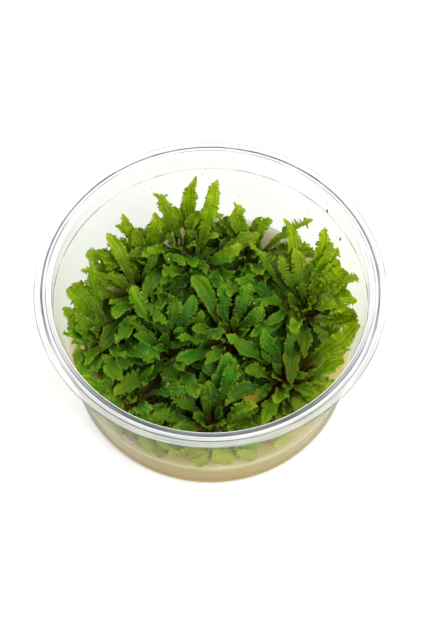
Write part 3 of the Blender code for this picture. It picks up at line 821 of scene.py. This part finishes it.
def kept_off(room):
    """A distance that never reaches 0: below a margin m, d becomes m exp((d - m) / m)."""
    return np.where(room < PRESS_SPACE,
                    PRESS_SPACE * np.exp(np.minimum(room / PRESS_SPACE - 1, 0)), room)


def pressed(points):
    """Keeps points within the wall and above the gel."""
    x, y, z = np.moveaxis(points, -1, 0)
    radius = np.hypot(x, y)
    room = wall_radius(z) - radius
    scale = (radius + room - kept_off(room)) / np.maximum(radius, 1e-9)
    over = z - gel_top(y)
    return np.stack((x * scale, y * scale, z + kept_off(over) - over), axis=-1)


# %% [markdown]
# ## One leaf as a formula
#
# The blade is a flat lens in section, with a rib under its middle. It widens from the stalk
# to about four fifths of its length. Its margins grow faster than its middle, so they have
# nowhere to go but up and down: that is the ruffle. Each margin is also finely and unevenly
# toothed. A cloth simulation could make ruffles too, but a formula gives the same leaf each
# time.

# %% Ruffled leaves
STALK_WIDTH = 0.17          # of the widest
BLADE_FROM = 0.12           # the blade widens from here
BLADE_FULL = 0.78           # to here, and keeps its width
TIP_TAPER = (0.16, 0.42)    # share of the length over which it tapers to the tip
TIP_ROUND = (0.45, 0.9)     # power of the taper, from a round tip to a pointed one
TIP_REST = 0.001            # share of the width left at the very tip
SWELL = 0.16                # how much the width swells and shrinks
POLE_BEFORE = 0.1 * MM      # the points that close a blade lie so far before its root
POLE_AFTER = 0.25 * MM      # and so far past its tip
BLADE_THICK = 0.28 * MM
RIB_DEPTH = 0.35 * MM
RIB_WIDTH = 0.3 * MM
FOLD = 0.45                 # how steeply the two halves rise from the midrib, at most
FOOT_FOLD = 0.4             # and how much more at the foot
RUFFLES_FROM = 0.1          # ruffles and teeth begin here along the leaf
RUFFLES_RISE = 0.45         # and are full so much further
RUFFLE_LENGTH = 1.45 * MM   # from one ruffle of the margin to the next
RUFFLE_COUNTS = (0.8, 1.25) # how many times as many a margin may have, at least and at most
RUFFLE_HEIGHT = 1.05 * MM   # of the middling ruffles, above and below the blade
RUFFLE_SCALES = (0.5, 1.25) # how many times as high a leaf's ruffles may be
RUFFLE_ROOM = 1.8 * MM      # ruffles are lower where the half width is less than this
SCALLOP_DEPTH = 0.40 * MM   # how far a ruffle also goes out and in
TOOTH_LENGTH = 0.8 * MM     # from one tooth to the next
TOOTH_COUNTS = (0.85, 1.2)
TOOTH_DEPTH = 0.14 * MM
TOOTH_ROOM = 1.2 * MM
WAVE_LENGTH = 6.0 * MM      # of the slow waves of the blade
WAVE_COUNTS = (0.7, 1.3)
WAVE_HEIGHT = 0.7 * MM
WAVE_ROOM = 2.0 * MM


def blades(lines, rng, rows, around, crisp, curl=0.0, taper_more=0.0):
    """Grids of points for leaves on the given middle lines, with the poles before and after
    them and the grids' UV map.

    Across the leaf v = cos(a), for the angle a round the section. The half width h is
    W/2 (s + (1 - s) u^2 (3 - 2u)), with s the stalk's share and u rising from 0 to 1 where the
    blade widens, times (1 - w^2)^p, with w rising from 0 to 1 over the tip, and times a random
    swell. The ruffle's phase f is 2 pi (length / ruffle length), and the teeth's phase g is
    2 pi (length / tooth length), each plus a random wander of its own on each side. A point
    lies v (h + |v|^3 (scallop depth times c times cos f + tooth depth (1 - 2 |sin g/2|))) to
    the side, with c the ruffle's strength but 1 at most. Above the middle line it lies
    ruffle height times the strength |v|^3.5 sin f, plus wave height |v|^1.3 sin of the slow
    wave, plus the fold h |v|^1.5, plus half the thickness times sin(a), less the rib under
    the middle. Blade and rib are thinner towards the tip. crisp scales ruffles and waves, and
    taper_more lengthens the tip."""
    feet, bends, tips, widths = (np.array(part) for part in zip(*lines))
    count = len(feet)
    t, spine, along, side, up = bent_lines(feet, bends, tips, rng, rows, curl)
    t3, t01 = t[:, :, None], np.clip(t, 0.0, 1.0)
    length = np.linalg.norm(tips - feet, axis=1)[:, None, None]
    angle = full_turn(around)[None, None]
    v = np.cos(angle) + 0 * t3
    one, pair = (count, 1), (count, 1, 2)

    u = np.clip((t01 - BLADE_FROM) / (BLADE_FULL - BLADE_FROM), 0, 1)
    taper = rng.uniform(*TIP_TAPER, one) + taper_more
    w = np.clip((t01 - 1 + taper) / taper, 0, 1)
    half = 0.5 * widths[:, None] * (STALK_WIDTH + (1 - STALK_WIDTH) * u ** 2 * (3 - 2 * u))
    half = (half * (1 - (1 - TIP_REST) * w ** 2) ** rng.uniform(*TIP_ROUND, one))[:, :, None]
    fold = rng.uniform(0.0, FOLD, one)

    # Of everything below, the two margins have their own.
    starts = rng.uniform(0, 1, pair)
    ruffles = length / RUFFLE_LENGTH * rng.uniform(*RUFFLE_COUNTS, pair)
    phase = 2 * np.pi * (ruffles * t3 + 2.0 * wander(rng, t3, pair, (1.3, 3.1, 7.3, 11.7))
                         + starts)
    height = np.clip(0.85 + 1.6 * wander(rng, t3, pair, (1.9, 4.3, 9.1)), 0.15, 1.9)
    teeth = length / TOOTH_LENGTH * rng.uniform(*TOOTH_COUNTS, pair)
    bite = 2 * np.pi * (teeth * t3 + 0.8 * wander(rng, t3, pair, (2.1, 5.3)) + 2.6 * starts)
    depth = TOOTH_DEPTH * (0.7 + 1.1 * wander(rng, t3, pair, (1.7, 4.1, 6.3)))
    waves = length / WAVE_LENGTH * rng.uniform(*WAVE_COUNTS, pair)
    slow = np.sin(2 * np.pi * (waves * t3 + rng.uniform(0, 1, pair)))
    swell = 1 + SWELL * wander(rng, t3, pair, (1.1, 2.6, 4.9))
    phase, height, bite, depth, slow, swell = (
        np.where(v > 0, both[:, :, :1], both[:, :, 1:])
        for both in (phase, height, bite, depth, slow, swell))

    half = half * swell
    full = np.clip((t01 - RUFFLES_FROM) / RUFFLES_RISE, 0, 1)[:, :, None]
    tooth = depth * full * np.minimum(1.0, half / TOOTH_ROOM) * (
        1 - 2 * np.abs(np.sin(bite / 2)))
    strength = crisp * rng.uniform(*RUFFLE_SCALES, (count, 1, 1)) * height * full * (
        np.minimum(1.0, half / RUFFLE_ROOM))
    scallop = SCALLOP_DEPTH * np.minimum(strength, 1.0) * np.cos(phase)
    aside = v * (half + np.abs(v) ** 3 * (tooth + scallop))
    ruffle = RUFFLE_HEIGHT * strength * np.abs(v) ** 3.5 * np.sin(phase)
    wave = crisp * WAVE_HEIGHT * full * np.minimum(1.0, half / WAVE_ROOM) * (
        np.abs(v) ** 1.3 * slow)
    cupped = half * (fold + FOOT_FOLD * np.exp(-3 * t01))[:, :, None] * np.abs(v) ** 1.5
    thick = 0.5 * BLADE_THICK * (1.5 - t3) * np.sin(angle)
    rib = RIB_DEPTH * (1.1 - t3) * np.exp(-(v * half / RIB_WIDTH) ** 2) * (np.sin(angle) < 0)
    above = ruffle + wave + cupped + thick - rib

    grid = pressed(spine[:, :, None] + side[:, :, None] * aside[..., None]
                   + up[:, :, None] * above[..., None])
    low = pressed(spine[:, :1] - along[:, :1] * POLE_BEFORE)[:, 0]
    high = pressed(spine[:, -1:] + along[:, -1:] * POLE_AFTER)[:, 0]
    return low, grid, high, np.stack((t01[:, :, None] + 0 * v, 0.5 + 0.5 * v), axis=-1)


# %% [markdown]
# ## A piece of leaves
#
# A fine leaf, or all the young ones of a crown, become one mesh. Low down among the others
# tissue gets painted shade, and low by the wall it gets painted light. A texture could be
# painted for that, but here each point works it out from its own place.

# %% Leaf pieces
DARK_HEIGHT = 33 * MM       # tissue below this height, among the others, gets painted shade
DARK_DEPTH = 13 * MM        # and darkest so much lower
DARK_FROM_WALL = 14 * MM    # the wall lets light in this far
PALE_HEIGHT = 28 * MM       # tissue below this height, by the wall, gets painted light and is pale
PALE_DEPTH = 8 * MM
PALE_FROM_WALL = 8 * MM


def leaf_mesh(name, groups):
    """One piece from groups of blades, each with its leaves' light, red and age."""
    points, faces, blade_values, traits, first = [], [], [], [], 0
    for (low, grid, high, across), *values in groups:
        count, rows, around = grid.shape[:3]
        points.append(tube_points(low, grid, high))
        start, end = (np.broadcast_to((place, 0.5), (count, 2)) for place in (0.0, 1.0))
        blade_values.append(tube_points(start, across, end))
        spread = np.stack([np.broadcast_to(value, count) for value in values])
        traits.append(np.repeat(spread, rows * around + 2, axis=1))
        faces += [part + first for part in tube_faces(count, rows, around)]
        first += len(points[-1])
    light, red, age = np.concatenate(traits, axis=1)
    points = np.concatenate(points)
    inwards = wall_radius(points[:, 2]) - np.hypot(points[:, 0], points[:, 1])
    # Painted shade deep among the leaves, and painted light low by the wall.
    painted_shade = np.clip((DARK_HEIGHT - points[:, 2]) / DARK_DEPTH, 0, 1) * np.clip(
        inwards / DARK_FROM_WALL, 0, 1)
    painted_wall_light = np.clip((PALE_HEIGHT - points[:, 2]) / PALE_DEPTH, 0, 1) * np.clip(
        1.5 - inwards / PALE_FROM_WALL, 0, 1)
    made = mesh_object(name, points, faces, {"blade": np.concatenate(blade_values)},
                       {"light": light, "red": red, "age": age, "painted_shade": painted_shade, "painted_wall_light": painted_wall_light})
    made.data.materials.append(leaf_tissue)
    return made


# %% [markdown]
# ## The grown leaves
#
# Each grown leaf of the model gets its fine leaf. Leaves near the wall are painted with the
# most light, partly for tissue grown in light, so they are the yellowest; the ones over the
# middle of the cup are painted darker. Two of the plants have crimson stalks. They could be
# sculpted one by one, but each is the same formula on its own line, with random numbers that
# start from the leaf's own number.

# %% Grown leaves
GROWN_WIDTH = 0.92      # of the model's leaf, whose margins are plain
RIBBON_WIDTH = 0.85     # the same for a leaf that stands upright
RIBBON_TAPER = 0.35     # how much longer its tip is
RED_STALKS = {"centre": 0.9, "right_front": 1.0, "front": 0.3, "front_left": 0.35,
              "left": 0.3, "mid_left": 0.2, "right_back": 0.35}
LEAST_RED = 0.1         # of the other plants' stalks
GROWN_ROWS = 170        # of a leaf's grid
GROWN_AROUND = 20
DROP_ROWS = (70, 150)   # rows, and points round them on the upper face, for a drop of dew
DROP_SIDES = (3, 8)
GROWN_SEED = 100        # of the first leaf's random numbers


def light_at(points):
    """How much light a leaf is painted with, from its tip: partly the paler tissue that grows in
    light, partly painted light. The value rises from 0 to 1 between 0.35 and 0.85 of the way from
    the axis to the wall, and by up to 0.45 more for tips 35 to 44 mm high, but not past 1. The lit
    side is at the back and right, so it is multiplied by 0.7 + (0.35 x + 0.6 y) / 45 mm, which is
    kept between 0.15 and 1.1."""
    out = np.hypot(points[..., 0], points[..., 1]) / wall_radius(np.array(LEDGE_Z))
    side = 0.7 + (0.35 * points[..., 0] + 0.6 * points[..., 1]) / (45 * MM)
    tall = 0.45 * np.clip((points[..., 2] - 35 * MM) / (9 * MM), 0.0, 1.0)
    near = np.clip((out - 0.35) / 0.5, 0.0, 1.0)
    return np.clip(near + tall, 0.0, 1.0) * np.clip(side, 0.15, 1.1)


def plant_of(name):
    return name.removeprefix("leaf_").removeprefix("crown_").rstrip("_0123456789")


drop_places = []
for count, (name, (foot, bend, tip, width)) in enumerate(grown.items()):
    rng = np.random.default_rng(GROWN_SEED + count)
    upright = max(0.0, (tip[2] - foot[2]) / np.linalg.norm(tip - foot))
    width = width * (GROWN_WIDTH + (RIBBON_WIDTH - GROWN_WIDTH) * upright ** 1.5)
    blade = blades([(foot, bend, tip, width)], rng, GROWN_ROWS, GROWN_AROUND, crisp=1.0,
                   taper_more=RIBBON_TAPER * upright)
    drop_places.append(blade[1][0, rng.integers(*DROP_ROWS), rng.integers(*DROP_SIDES)])
    # Painted light, partly for tissue grown in light, with a random tone of its own.
    light = (light_at(tip) + rng.uniform(-0.2, 0.2)).clip(0, 1)
    red = RED_STALKS.get(plant_of(name), LEAST_RED)
    piece = leaf_mesh(name.replace("leaf_", "grown_leaf_"), [(blade, light, red, 0.0)])
    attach(piece, "root")
    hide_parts(name)
print(f"{len(grown)} grown leaves of {len(piece.data.polygons)} faces each")

# %% [markdown]
# ## Small leaves round a stem
#
# A crown is a short stem and the young leaves that grow from it. The model has the larger
# ones. Smaller ones fill the space between those, and in the heart stand a few that still
# unfold. They could be set by hand, but a loop that turns by the golden angle from each leaf to
# the next spreads them as evenly as the plant does.

# %% Small leaves
GOLDEN_ANGLE = math.radians(137.5)
STEM_ABOVE_GEL = 6.0 * MM
STEM_RADIUS = 1.4 * MM
WHORLS = (  # how many, and for the youngest and oldest their length, rise in degrees and width
    (3, (2.5 * MM, 5 * MM), (80, 50), (1.2 * MM, 1.9 * MM)),        # the heart
    (7, (13 * MM, 22 * MM), (50, 8), (2.6 * MM, 4.4 * MM)),         # between the model's
    (9, (18 * MM, 25 * MM), (4, -6), (4.0 * MM, 5.0 * MM)),         # low ones
)
FOOT_HEIGHT = 4.0 * MM  # of the oldest leaf's foot over the gel
FOOT_RISE = 1.8 * MM    # and how much higher the youngest one's may be
WALL_FREE = 1.0 * MM    # small leaves whose tips would come nearer the wall are left out


def small_leaves(x, y, rng, count, lengths, rises, widths):
    """Middle lines of small leaves on the stem at x, y, each a golden angle on from the last.
    lengths, rises and widths each give the value of the youngest and of the oldest, and the
    rest lie between. A leaf's foot is higher the younger it is, and its bend lies 0.45 of the
    way to its tip and higher by 0.22 of its length."""
    number = np.arange(count)
    age = 1 - number / count
    heading = number * GOLDEN_ANGLE + rng.uniform(0, 2 * np.pi)

    def between(ends):
        return ends[0] + (ends[1] - ends[0]) * age

    rise = np.radians(between(rises) + rng.uniform(-8, 8, count))
    length = between(lengths) * rng.uniform(0.85, 1.15, count)
    way = round_axis(np.cos(rise), heading, np.sin(rise))
    out = round_axis(1.0, heading, 0.0)
    foot = np.array((x, y, gel_top(y) + FOOT_HEIGHT)) + 0.5 * STEM_RADIUS * out
    foot = foot + np.array((0, 0, FOOT_RISE)) * (1 - age)[:, None]
    tip = foot + way * length[:, None]
    bend = foot + 0.45 * (tip - foot) + np.array((0, 0, 0.22)) * length[:, None]
    return list(zip(foot, bend, tip, between(widths)))


def clear_of_wall(lines):
    return [line for line in lines
            if math.hypot(line[2][0], line[2][1]) < wall_radius(line[2][2]) - WALL_FREE]


# %% [markdown]
# ## Leaves that reach the wall
#
# By the wall, broad leaves fan out until they lean on it, and some lie flat on the gel. They are
# too many for the model, so they are added here. They could be placed one by one, but the
# distance from a stem to the wall is a formula.

# %% Leaves to the wall
LONGEST_LEAF = 27 * MM
FAN_HALF = 62           # degrees that a fan of leaves reaches to either side
FAN_WIDTHS = (4.2 * MM, 7.0 * MM)
WALL_FANS = {           # leaves that fan out to the wall, and how far over the gel they end
    "right_back": (6, (7 * MM, 19 * MM)), "right_front": (5, (2 * MM, 12 * MM)),
    "front": (7, (0.3 * MM, 0.8 * MM)), "front_left": (4, (0.3 * MM, 4 * MM)),
    "left": (7, (4 * MM, 17 * MM)), "back_left": (2, (3 * MM, 9 * MM)),
}
FLAT_LIFT = 1.0 * MM    # leaves that end lower than this over the gel lie flat on it
FLAT_FREE = 0.2 * MM    # and end so near the wall
RAISED_FREE = 1.3 * MM  # the others end so near
FLAT_SHORT = 3.0 * MM   # but every second flat one ends so much before


def lines_to(x, y, tips, widths):
    """Middle lines from the stem at x, y to the tips. They rise to an arch, whose bend lies
    halfway and higher by a quarter of the reach."""
    way = tips[:, :2] - (x, y)
    reach = np.linalg.norm(way, axis=1, keepdims=True)
    foot = np.column_stack(((x, y) + 0.8 * STEM_RADIUS * way / reach,
                            np.full(len(tips), gel_top(y) + STEM_ABOVE_GEL - 1.5 * MM)))
    bend = foot + 0.5 * (tips - foot) + np.array((0, 0, 0.25)) * reach
    return list(zip(foot, bend, tips, widths))


def wall_leaves(x, y, rng, count, lifts):
    """Middle lines of broad leaves that fan out from the stem at x, y to the wall. Their tips
    lie just inside the wall, lifted above the gel by a height between the two lifts. The
    distance to the wall along a heading h from the point p is -p.h + sqrt((p.h)^2 + R^2 -
    p.p), with R the wall's inner radius."""
    heading = math.atan2(y, x) + np.radians(
        np.linspace(-FAN_HALF, FAN_HALF, count) + rng.uniform(-7, 7, count))
    way = np.stack((np.cos(heading), np.sin(heading)), axis=-1)
    start = np.array((x, y))
    lift = rng.uniform(*lifts, count)
    flat = lift < FLAT_LIFT
    reach = wall_radius(gel_top(y) + lift) - np.where(flat, FLAT_FREE, RAISED_FREE)
    reach = reach - FLAT_SHORT * flat * (np.arange(count) % 2)
    ahead = way @ start
    distance = -ahead + np.sqrt(ahead ** 2 + reach ** 2 - start @ start)
    tip = start + way * np.minimum(distance, LONGEST_LEAF)[:, None]
    tip = np.column_stack((tip, gel_top(tip[:, 1]) + lift))
    return lines_to(x, y, tip, rng.uniform(*FAN_WIDTHS, count))


# %% [markdown]
# ## The crowns
#
# A crown has its stem, the model's young leaves, the small ones, and its fan. A few large leaves
# that can be made out in the photograph have places of their own, and one old leaf has turned
# orange. The stems could be a piece each, but they grow together with their leaves.

# %% Crowns
STEM_BELOW_GEL = 1.0 * MM
STEM_AROUND = 14
YOUNG_WIDTH = 0.85      # of the model's leaf
YOUNG_SEED = 300
SHOWY_LEAVES = {        # tips and widths, in millimetres, of large leaves that can be made out
    "right_back": ((41.0, 12.0, 33.0, 8.0), (41.3, 6.0, 32.0, 7.5), (38.2, 16.0, 34.5, 4.5)),
    "left": ((-42.4, 1.2, 33.5, 5.0), (-41.8, -4.6, 32.0, 5.5)),
    "back_left": ((-16.5, 31.0, 38.0, 4.6), (-22.5, 28.0, 33.0, 4.4)),
}
OLD_LEAF = tuple(np.array(place) * MM for place in (
    (19.5, -20.0, 21.5), (14.0, -25.0, 29.0), (8.0, -28.8, 27.0))) + (3.4 * MM,)


def stem_tube(x, y):
    """The stem: a tube from under the gel to the bud, with slight joints where the whorls
    stand: radius R (1 + 0.08 sin(9 height / mm)), which closes over the top."""
    z = np.linspace(-STEM_BELOW_GEL, STEM_ABOVE_GEL, 14)[:, None]
    radius = STEM_RADIUS * (1 + 0.08 * np.sin(9 * z / MM)) * np.sqrt(
        1 - 0.7 * np.clip(z / STEM_ABOVE_GEL, 0, 1) ** 6)
    base = np.array((x, y, gel_top(y)))
    grid = (base + round_axis(radius, full_turn(STEM_AROUND), z))[None]
    low, high = (base[None] + (0.0, 0.0, height) for height in (
        -STEM_BELOW_GEL - 0.2 * MM, STEM_ABOVE_GEL + 0.3 * MM))
    return low, grid, high, np.zeros((*grid.shape[:3], 2)) + (0.0, 0.5)


for count, (name, lines) in enumerate(young.items()):
    rng = np.random.default_rng(YOUNG_SEED + count)
    plant = plant_of(name)
    x, y = (np.array([foot[axis] for foot, *_ in lines]).mean() for axis in (0, 1))
    red = RED_STALKS.get(plant, LEAST_RED)
    heart, between, low = (small_leaves(x, y, rng, *whorl) for whorl in WHORLS)
    larger = [(foot, bend, tip, YOUNG_WIDTH * width) for foot, bend, tip, width in lines]
    fan = wall_leaves(x, y, rng, *WALL_FANS.get(plant, (0, (0.0, 1.0))))
    if plant in SHOWY_LEAVES:
        showy = np.array(SHOWY_LEAVES[plant]) * MM
        fan += lines_to(x, y, showy[:, :3], showy[:, 3])

    # Rows and points round of each blade, its curl, and its share of the painted light.
    groups = []
    for these, rows, around, curl, painted_light_share in (
            (larger, 110, 16, -0.1, 0.8), (clear_of_wall(between), 80, 14, -0.1, 0.6),
            (clear_of_wall(low), 80, 14, 0.0, 0.5), (heart, 36, 12, 0.3, 1.0),
            (fan, 130, 18, 0.0, 1.0)):
        if these:
            made = blades(these, rng, rows, around, crisp=0.9, curl=curl)
            light = painted_light_share * light_at(np.array([tip for _, _, tip, _ in these]))
            light = (light + rng.uniform(-0.1, 0.25, len(these))).clip(0, 1)
            groups.append((made, light, red, 0.0))
    if plant == "right_front":
        groups.append((blades([OLD_LEAF], rng, 80, 14, crisp=0.6), 0.0, 1.0, 0.95))
    groups.append((stem_tube(x, y), 0.2, red, 0.0))
    piece = leaf_mesh(name.replace("crown_", "young_leaves_"), groups)
    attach(piece, "root")
    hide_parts(name)
    print(f"{piece.name}: {sum(len(group[0][1]) for group in groups) - 1} leaves, "
          f"{len(piece.data.polygons)} faces")

# %% [markdown]
# ## Dew on the leaves
#
# The air in the closed cup is damp, so small drops sit on the leaves and glint. A drop is a
# small ball of water: it mirrors the lamps sharply, and the rest of it shows the leaf below
# through a layer of white, a painted highlight. To the eye it is a white point on the green.
# Refraction would darken the leaf under it, so it is left out.

# %% Dew drops
DROP_RADIUS = (0.16 * MM, 0.36 * MM)
DROP_RISE = 0.6         # of its radius, how far a drop's middle is over the leaf's skin
BALL_ROWS = 7
BALL_AROUND = 12
DEW_SEED = 11

water, tree = new_finish("clear_water_drops")
# Painted highlight: part of each drop is plain white, besides its sharp mirror of the lamps.
drop_gloss_and_painted_white = add_node(tree, "BsdfPrincipled", {
    "Base Color": linear("#FFFFFF"), "Roughness": 0.04, "IOR": 1.33})
water_clear = add_node(tree, "BsdfTransparent", {"Color": linear("#F4FAF4")})
water_edge = add_node(tree, "Fresnel", {"IOR": 1.33})
drop_white_share = add_node(tree, "MapRange", {
    "Value": water_edge, "From Min": 0.0, "From Max": 0.3, "To Min": 0.45})
water_light = add_node(tree, "MixShader", {0: drop_white_share, 1: water_clear, 2: drop_gloss_and_painted_white})
add_node(tree, "OutputMaterial", {"Surface": water_light})

ring = np.linspace(0, math.pi, BALL_ROWS + 2)[1:-1, None]
turn = full_turn(BALL_AROUND)
ball = round_axis(np.sin(ring), turn, -np.cos(ring))
rng = np.random.default_rng(DEW_SEED)
drop_centres = np.array(drop_places)
drop_radius = rng.uniform(*DROP_RADIUS, len(drop_centres))
drop_centres[:, 2] += DROP_RISE * drop_radius
drop_pole = np.array((0.0, 0.0, 1.0)) * drop_radius[:, None]
drops = tube_object(
    "dew_drops", drop_centres - drop_pole,
    drop_centres[:, None, None] + drop_radius[:, None, None, None] * ball,
    drop_centres + drop_pole)
drops.data.materials.append(water)
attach(drops, "root")
print(f"{len(drop_centres)} drops")

# %% [markdown]
# ## Scraps and specks
#
# Bits of dark leaf stick to the damp wall above the plants, with fine specks between them, and
# a mauve scrap of dead tissue lies in the corner of gel and wall. Each is a small ball, pressed
# flat against the wall. They are dull and mottled, so that the eye takes them for dirt and not
# for holes. They could be scattered by hand, but numbers repeat exactly.

# %% Specks
MOTTLE_FINENESS = 900.0     # noise cells to the metre: mottles are 1.1 mm across
FINE_SPECKS = 26
SPECK_SEED = 7
SCRAPS = (  # degrees from +X, height, half width, half height and half thickness in mm, mauve
    (39.9, 41.6, 0.38, 0.80, 0.12, 0.0),
    (30.3, 36.2, 0.34, 0.70, 0.12, 0.0),
    (46.7, 32.2, 0.30, 0.25, 0.12, 0.3),
    (-124.5, 19.2, 2.4, 2.6, 0.60, 1.0),
)

scrap_finish, tree = new_finish("damp_dead_leaf_scraps")
scrap_noise = add_node(tree, "TexNoise", {
    "Vector": add_node(tree, "TexCoord").outputs["Object"],
    "Scale": MOTTLE_FINENESS, "Detail": 3.0})
mauve = add_node(tree, "Attribute", attribute_name="mauve").outputs["Fac"]
scrap_dark, scrap_mauve = (
    add_node(tree, "ValToRGB", {"Fac": scrap_noise}, stops=((0.35, low), (0.65, high)))
    for low, high in (("#20260E", "#5C6420"), ("#B4848E", "#F4D4D8")))
scrap_colour = add_node(tree, "Mix", {0: mauve, 6: scrap_dark, 7: scrap_mauve},
                        data_type="RGBA")
scrap_body = add_node(tree, "BsdfPrincipled", {
    "Base Color": scrap_colour, "Roughness": 0.5, "IOR": 1.36})
add_node(tree, "OutputMaterial", {"Surface": scrap_body})

rng = np.random.default_rng(SPECK_SEED)
fine = np.column_stack([rng.uniform(*ends, FINE_SPECKS) for ends in (
    (-15, 195), (26, 45), (0.08, 0.18), (0.08, 0.2))])
fine = np.column_stack((fine, np.full(FINE_SPECKS, 0.06), rng.uniform(0.0, 0.5, FINE_SPECKS)))
heading, height, half_width, half_height, half_thick, mauve_share = (
    np.concatenate((SCRAPS, fine)).T[:, :, None, None])
heading = np.radians(heading)
height, half_width, half_height, half_thick = (
    size * MM for size in (height, half_width, half_height, half_thick))
lumps = 1 + 0.25 * np.sin(3 * turn + 5 * heading) * np.sin(2 * ring)
scrap_z = height + half_height * lumps * ball[..., 2]
scrap_r = wall_radius(scrap_z) - half_thick - half_thick * ball[..., 1]
scrap_grid = round_axis(scrap_r, heading + half_width * lumps * ball[..., 0] / scrap_r, scrap_z)
scrap_low, scrap_high = (
    round_axis(wall_radius(end) - half_thick, heading, end)[:, 0, 0]
    for end in (height - half_height, height + half_height))
specks = tube_object("wall_specks", scrap_low, scrap_grid, scrap_high,
                     values={"mauve": mauve_share[:, 0, 0]})
specks.data.materials.append(scrap_finish)
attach(specks, "root")
print(f"{len(height)} specks and scraps")

# %% [markdown]
# ## The studio
#
# The object stands on a white light table, whose faint glow keeps its own shadow pale. A soft
# white tent is over it, a little greyer near the table. A lamp behind shines through the
# leaves at the wall, and a small one in front gives wet leaves their glints.

# %% Table and light
TABLE_HALF = 3.0            # half of the table's side, in metres
TENT_GLOW = 0.36
LAMP_AIM = (0.0, 0.0, 0.02)
LAMPS = {                   # place and size in metres, power in watts
    "lamp_behind": ((-0.25, 0.40, 0.60), 0.3, 2.6),
    "lamp_front": ((0.30, -0.35, 0.60), 0.2, 3.2),
}

table_finish, tree = new_finish("white_light_table")
table_card = add_node(tree, "BsdfPrincipled", {
    "Base Color": linear("#B4B4B4"), "Roughness": 0.9,
    "Emission Color": linear("#FFFFFF"), "Emission Strength": 0.66})
add_node(tree, "OutputMaterial", {"Surface": table_card})
corner = np.array([(-1, -1, 0), (1, -1, 0), (1, 1, 0), (-1, 1, 0)]) * TABLE_HALF
table = mesh_object("light_table", corner, [np.array([[0, 1, 2, 3]])])
table.data.materials.append(table_finish)

tent = bpy.data.worlds.new("white_tent")
tent.use_nodes = True
tree = tent.node_tree
rise = add_node(tree, "SeparateXYZ", {
    "Vector": add_node(tree, "TexCoord").outputs["Generated"]}).outputs["Z"]
cloth = add_node(tree, "ValToRGB", {"Fac": rise}, stops=(
    (0.0, "#D4D6D8"), (0.22, "#DCDEE0"), (0.42, "#FFFFFF"), (1.0, "#FFFFFF")))
tree.links.new(cloth.outputs["Color"], tree.nodes["Background"].inputs["Color"])
tree.nodes["Background"].inputs["Strength"].default_value = TENT_GLOW
bpy.context.scene.world = tent

# A lamp shines down its own -Z, so it is tipped from there and then turned to its aim.
for name, (place, size, power) in LAMPS.items():
    data = bpy.data.lights.new(name, "AREA")
    data.shape = "SQUARE"
    data.size = size
    data.energy = power
    lamp = bpy.data.objects.new(name, data)
    lamp.location = place
    way = np.array(LAMP_AIM) - np.array(place)
    lamp.rotation_euler = (math.atan2(math.hypot(way[0], way[1]), -way[2]), 0.0,
                           math.atan2(way[0], -way[1]) + math.pi)
    bpy.context.scene.collection.objects.link(lamp)

bpy.context.scene.view_settings.view_transform = "Standard"
bpy.context.scene.view_settings.look = "None"
print(f"{len(LAMPS)} lamps, a table and a tent")
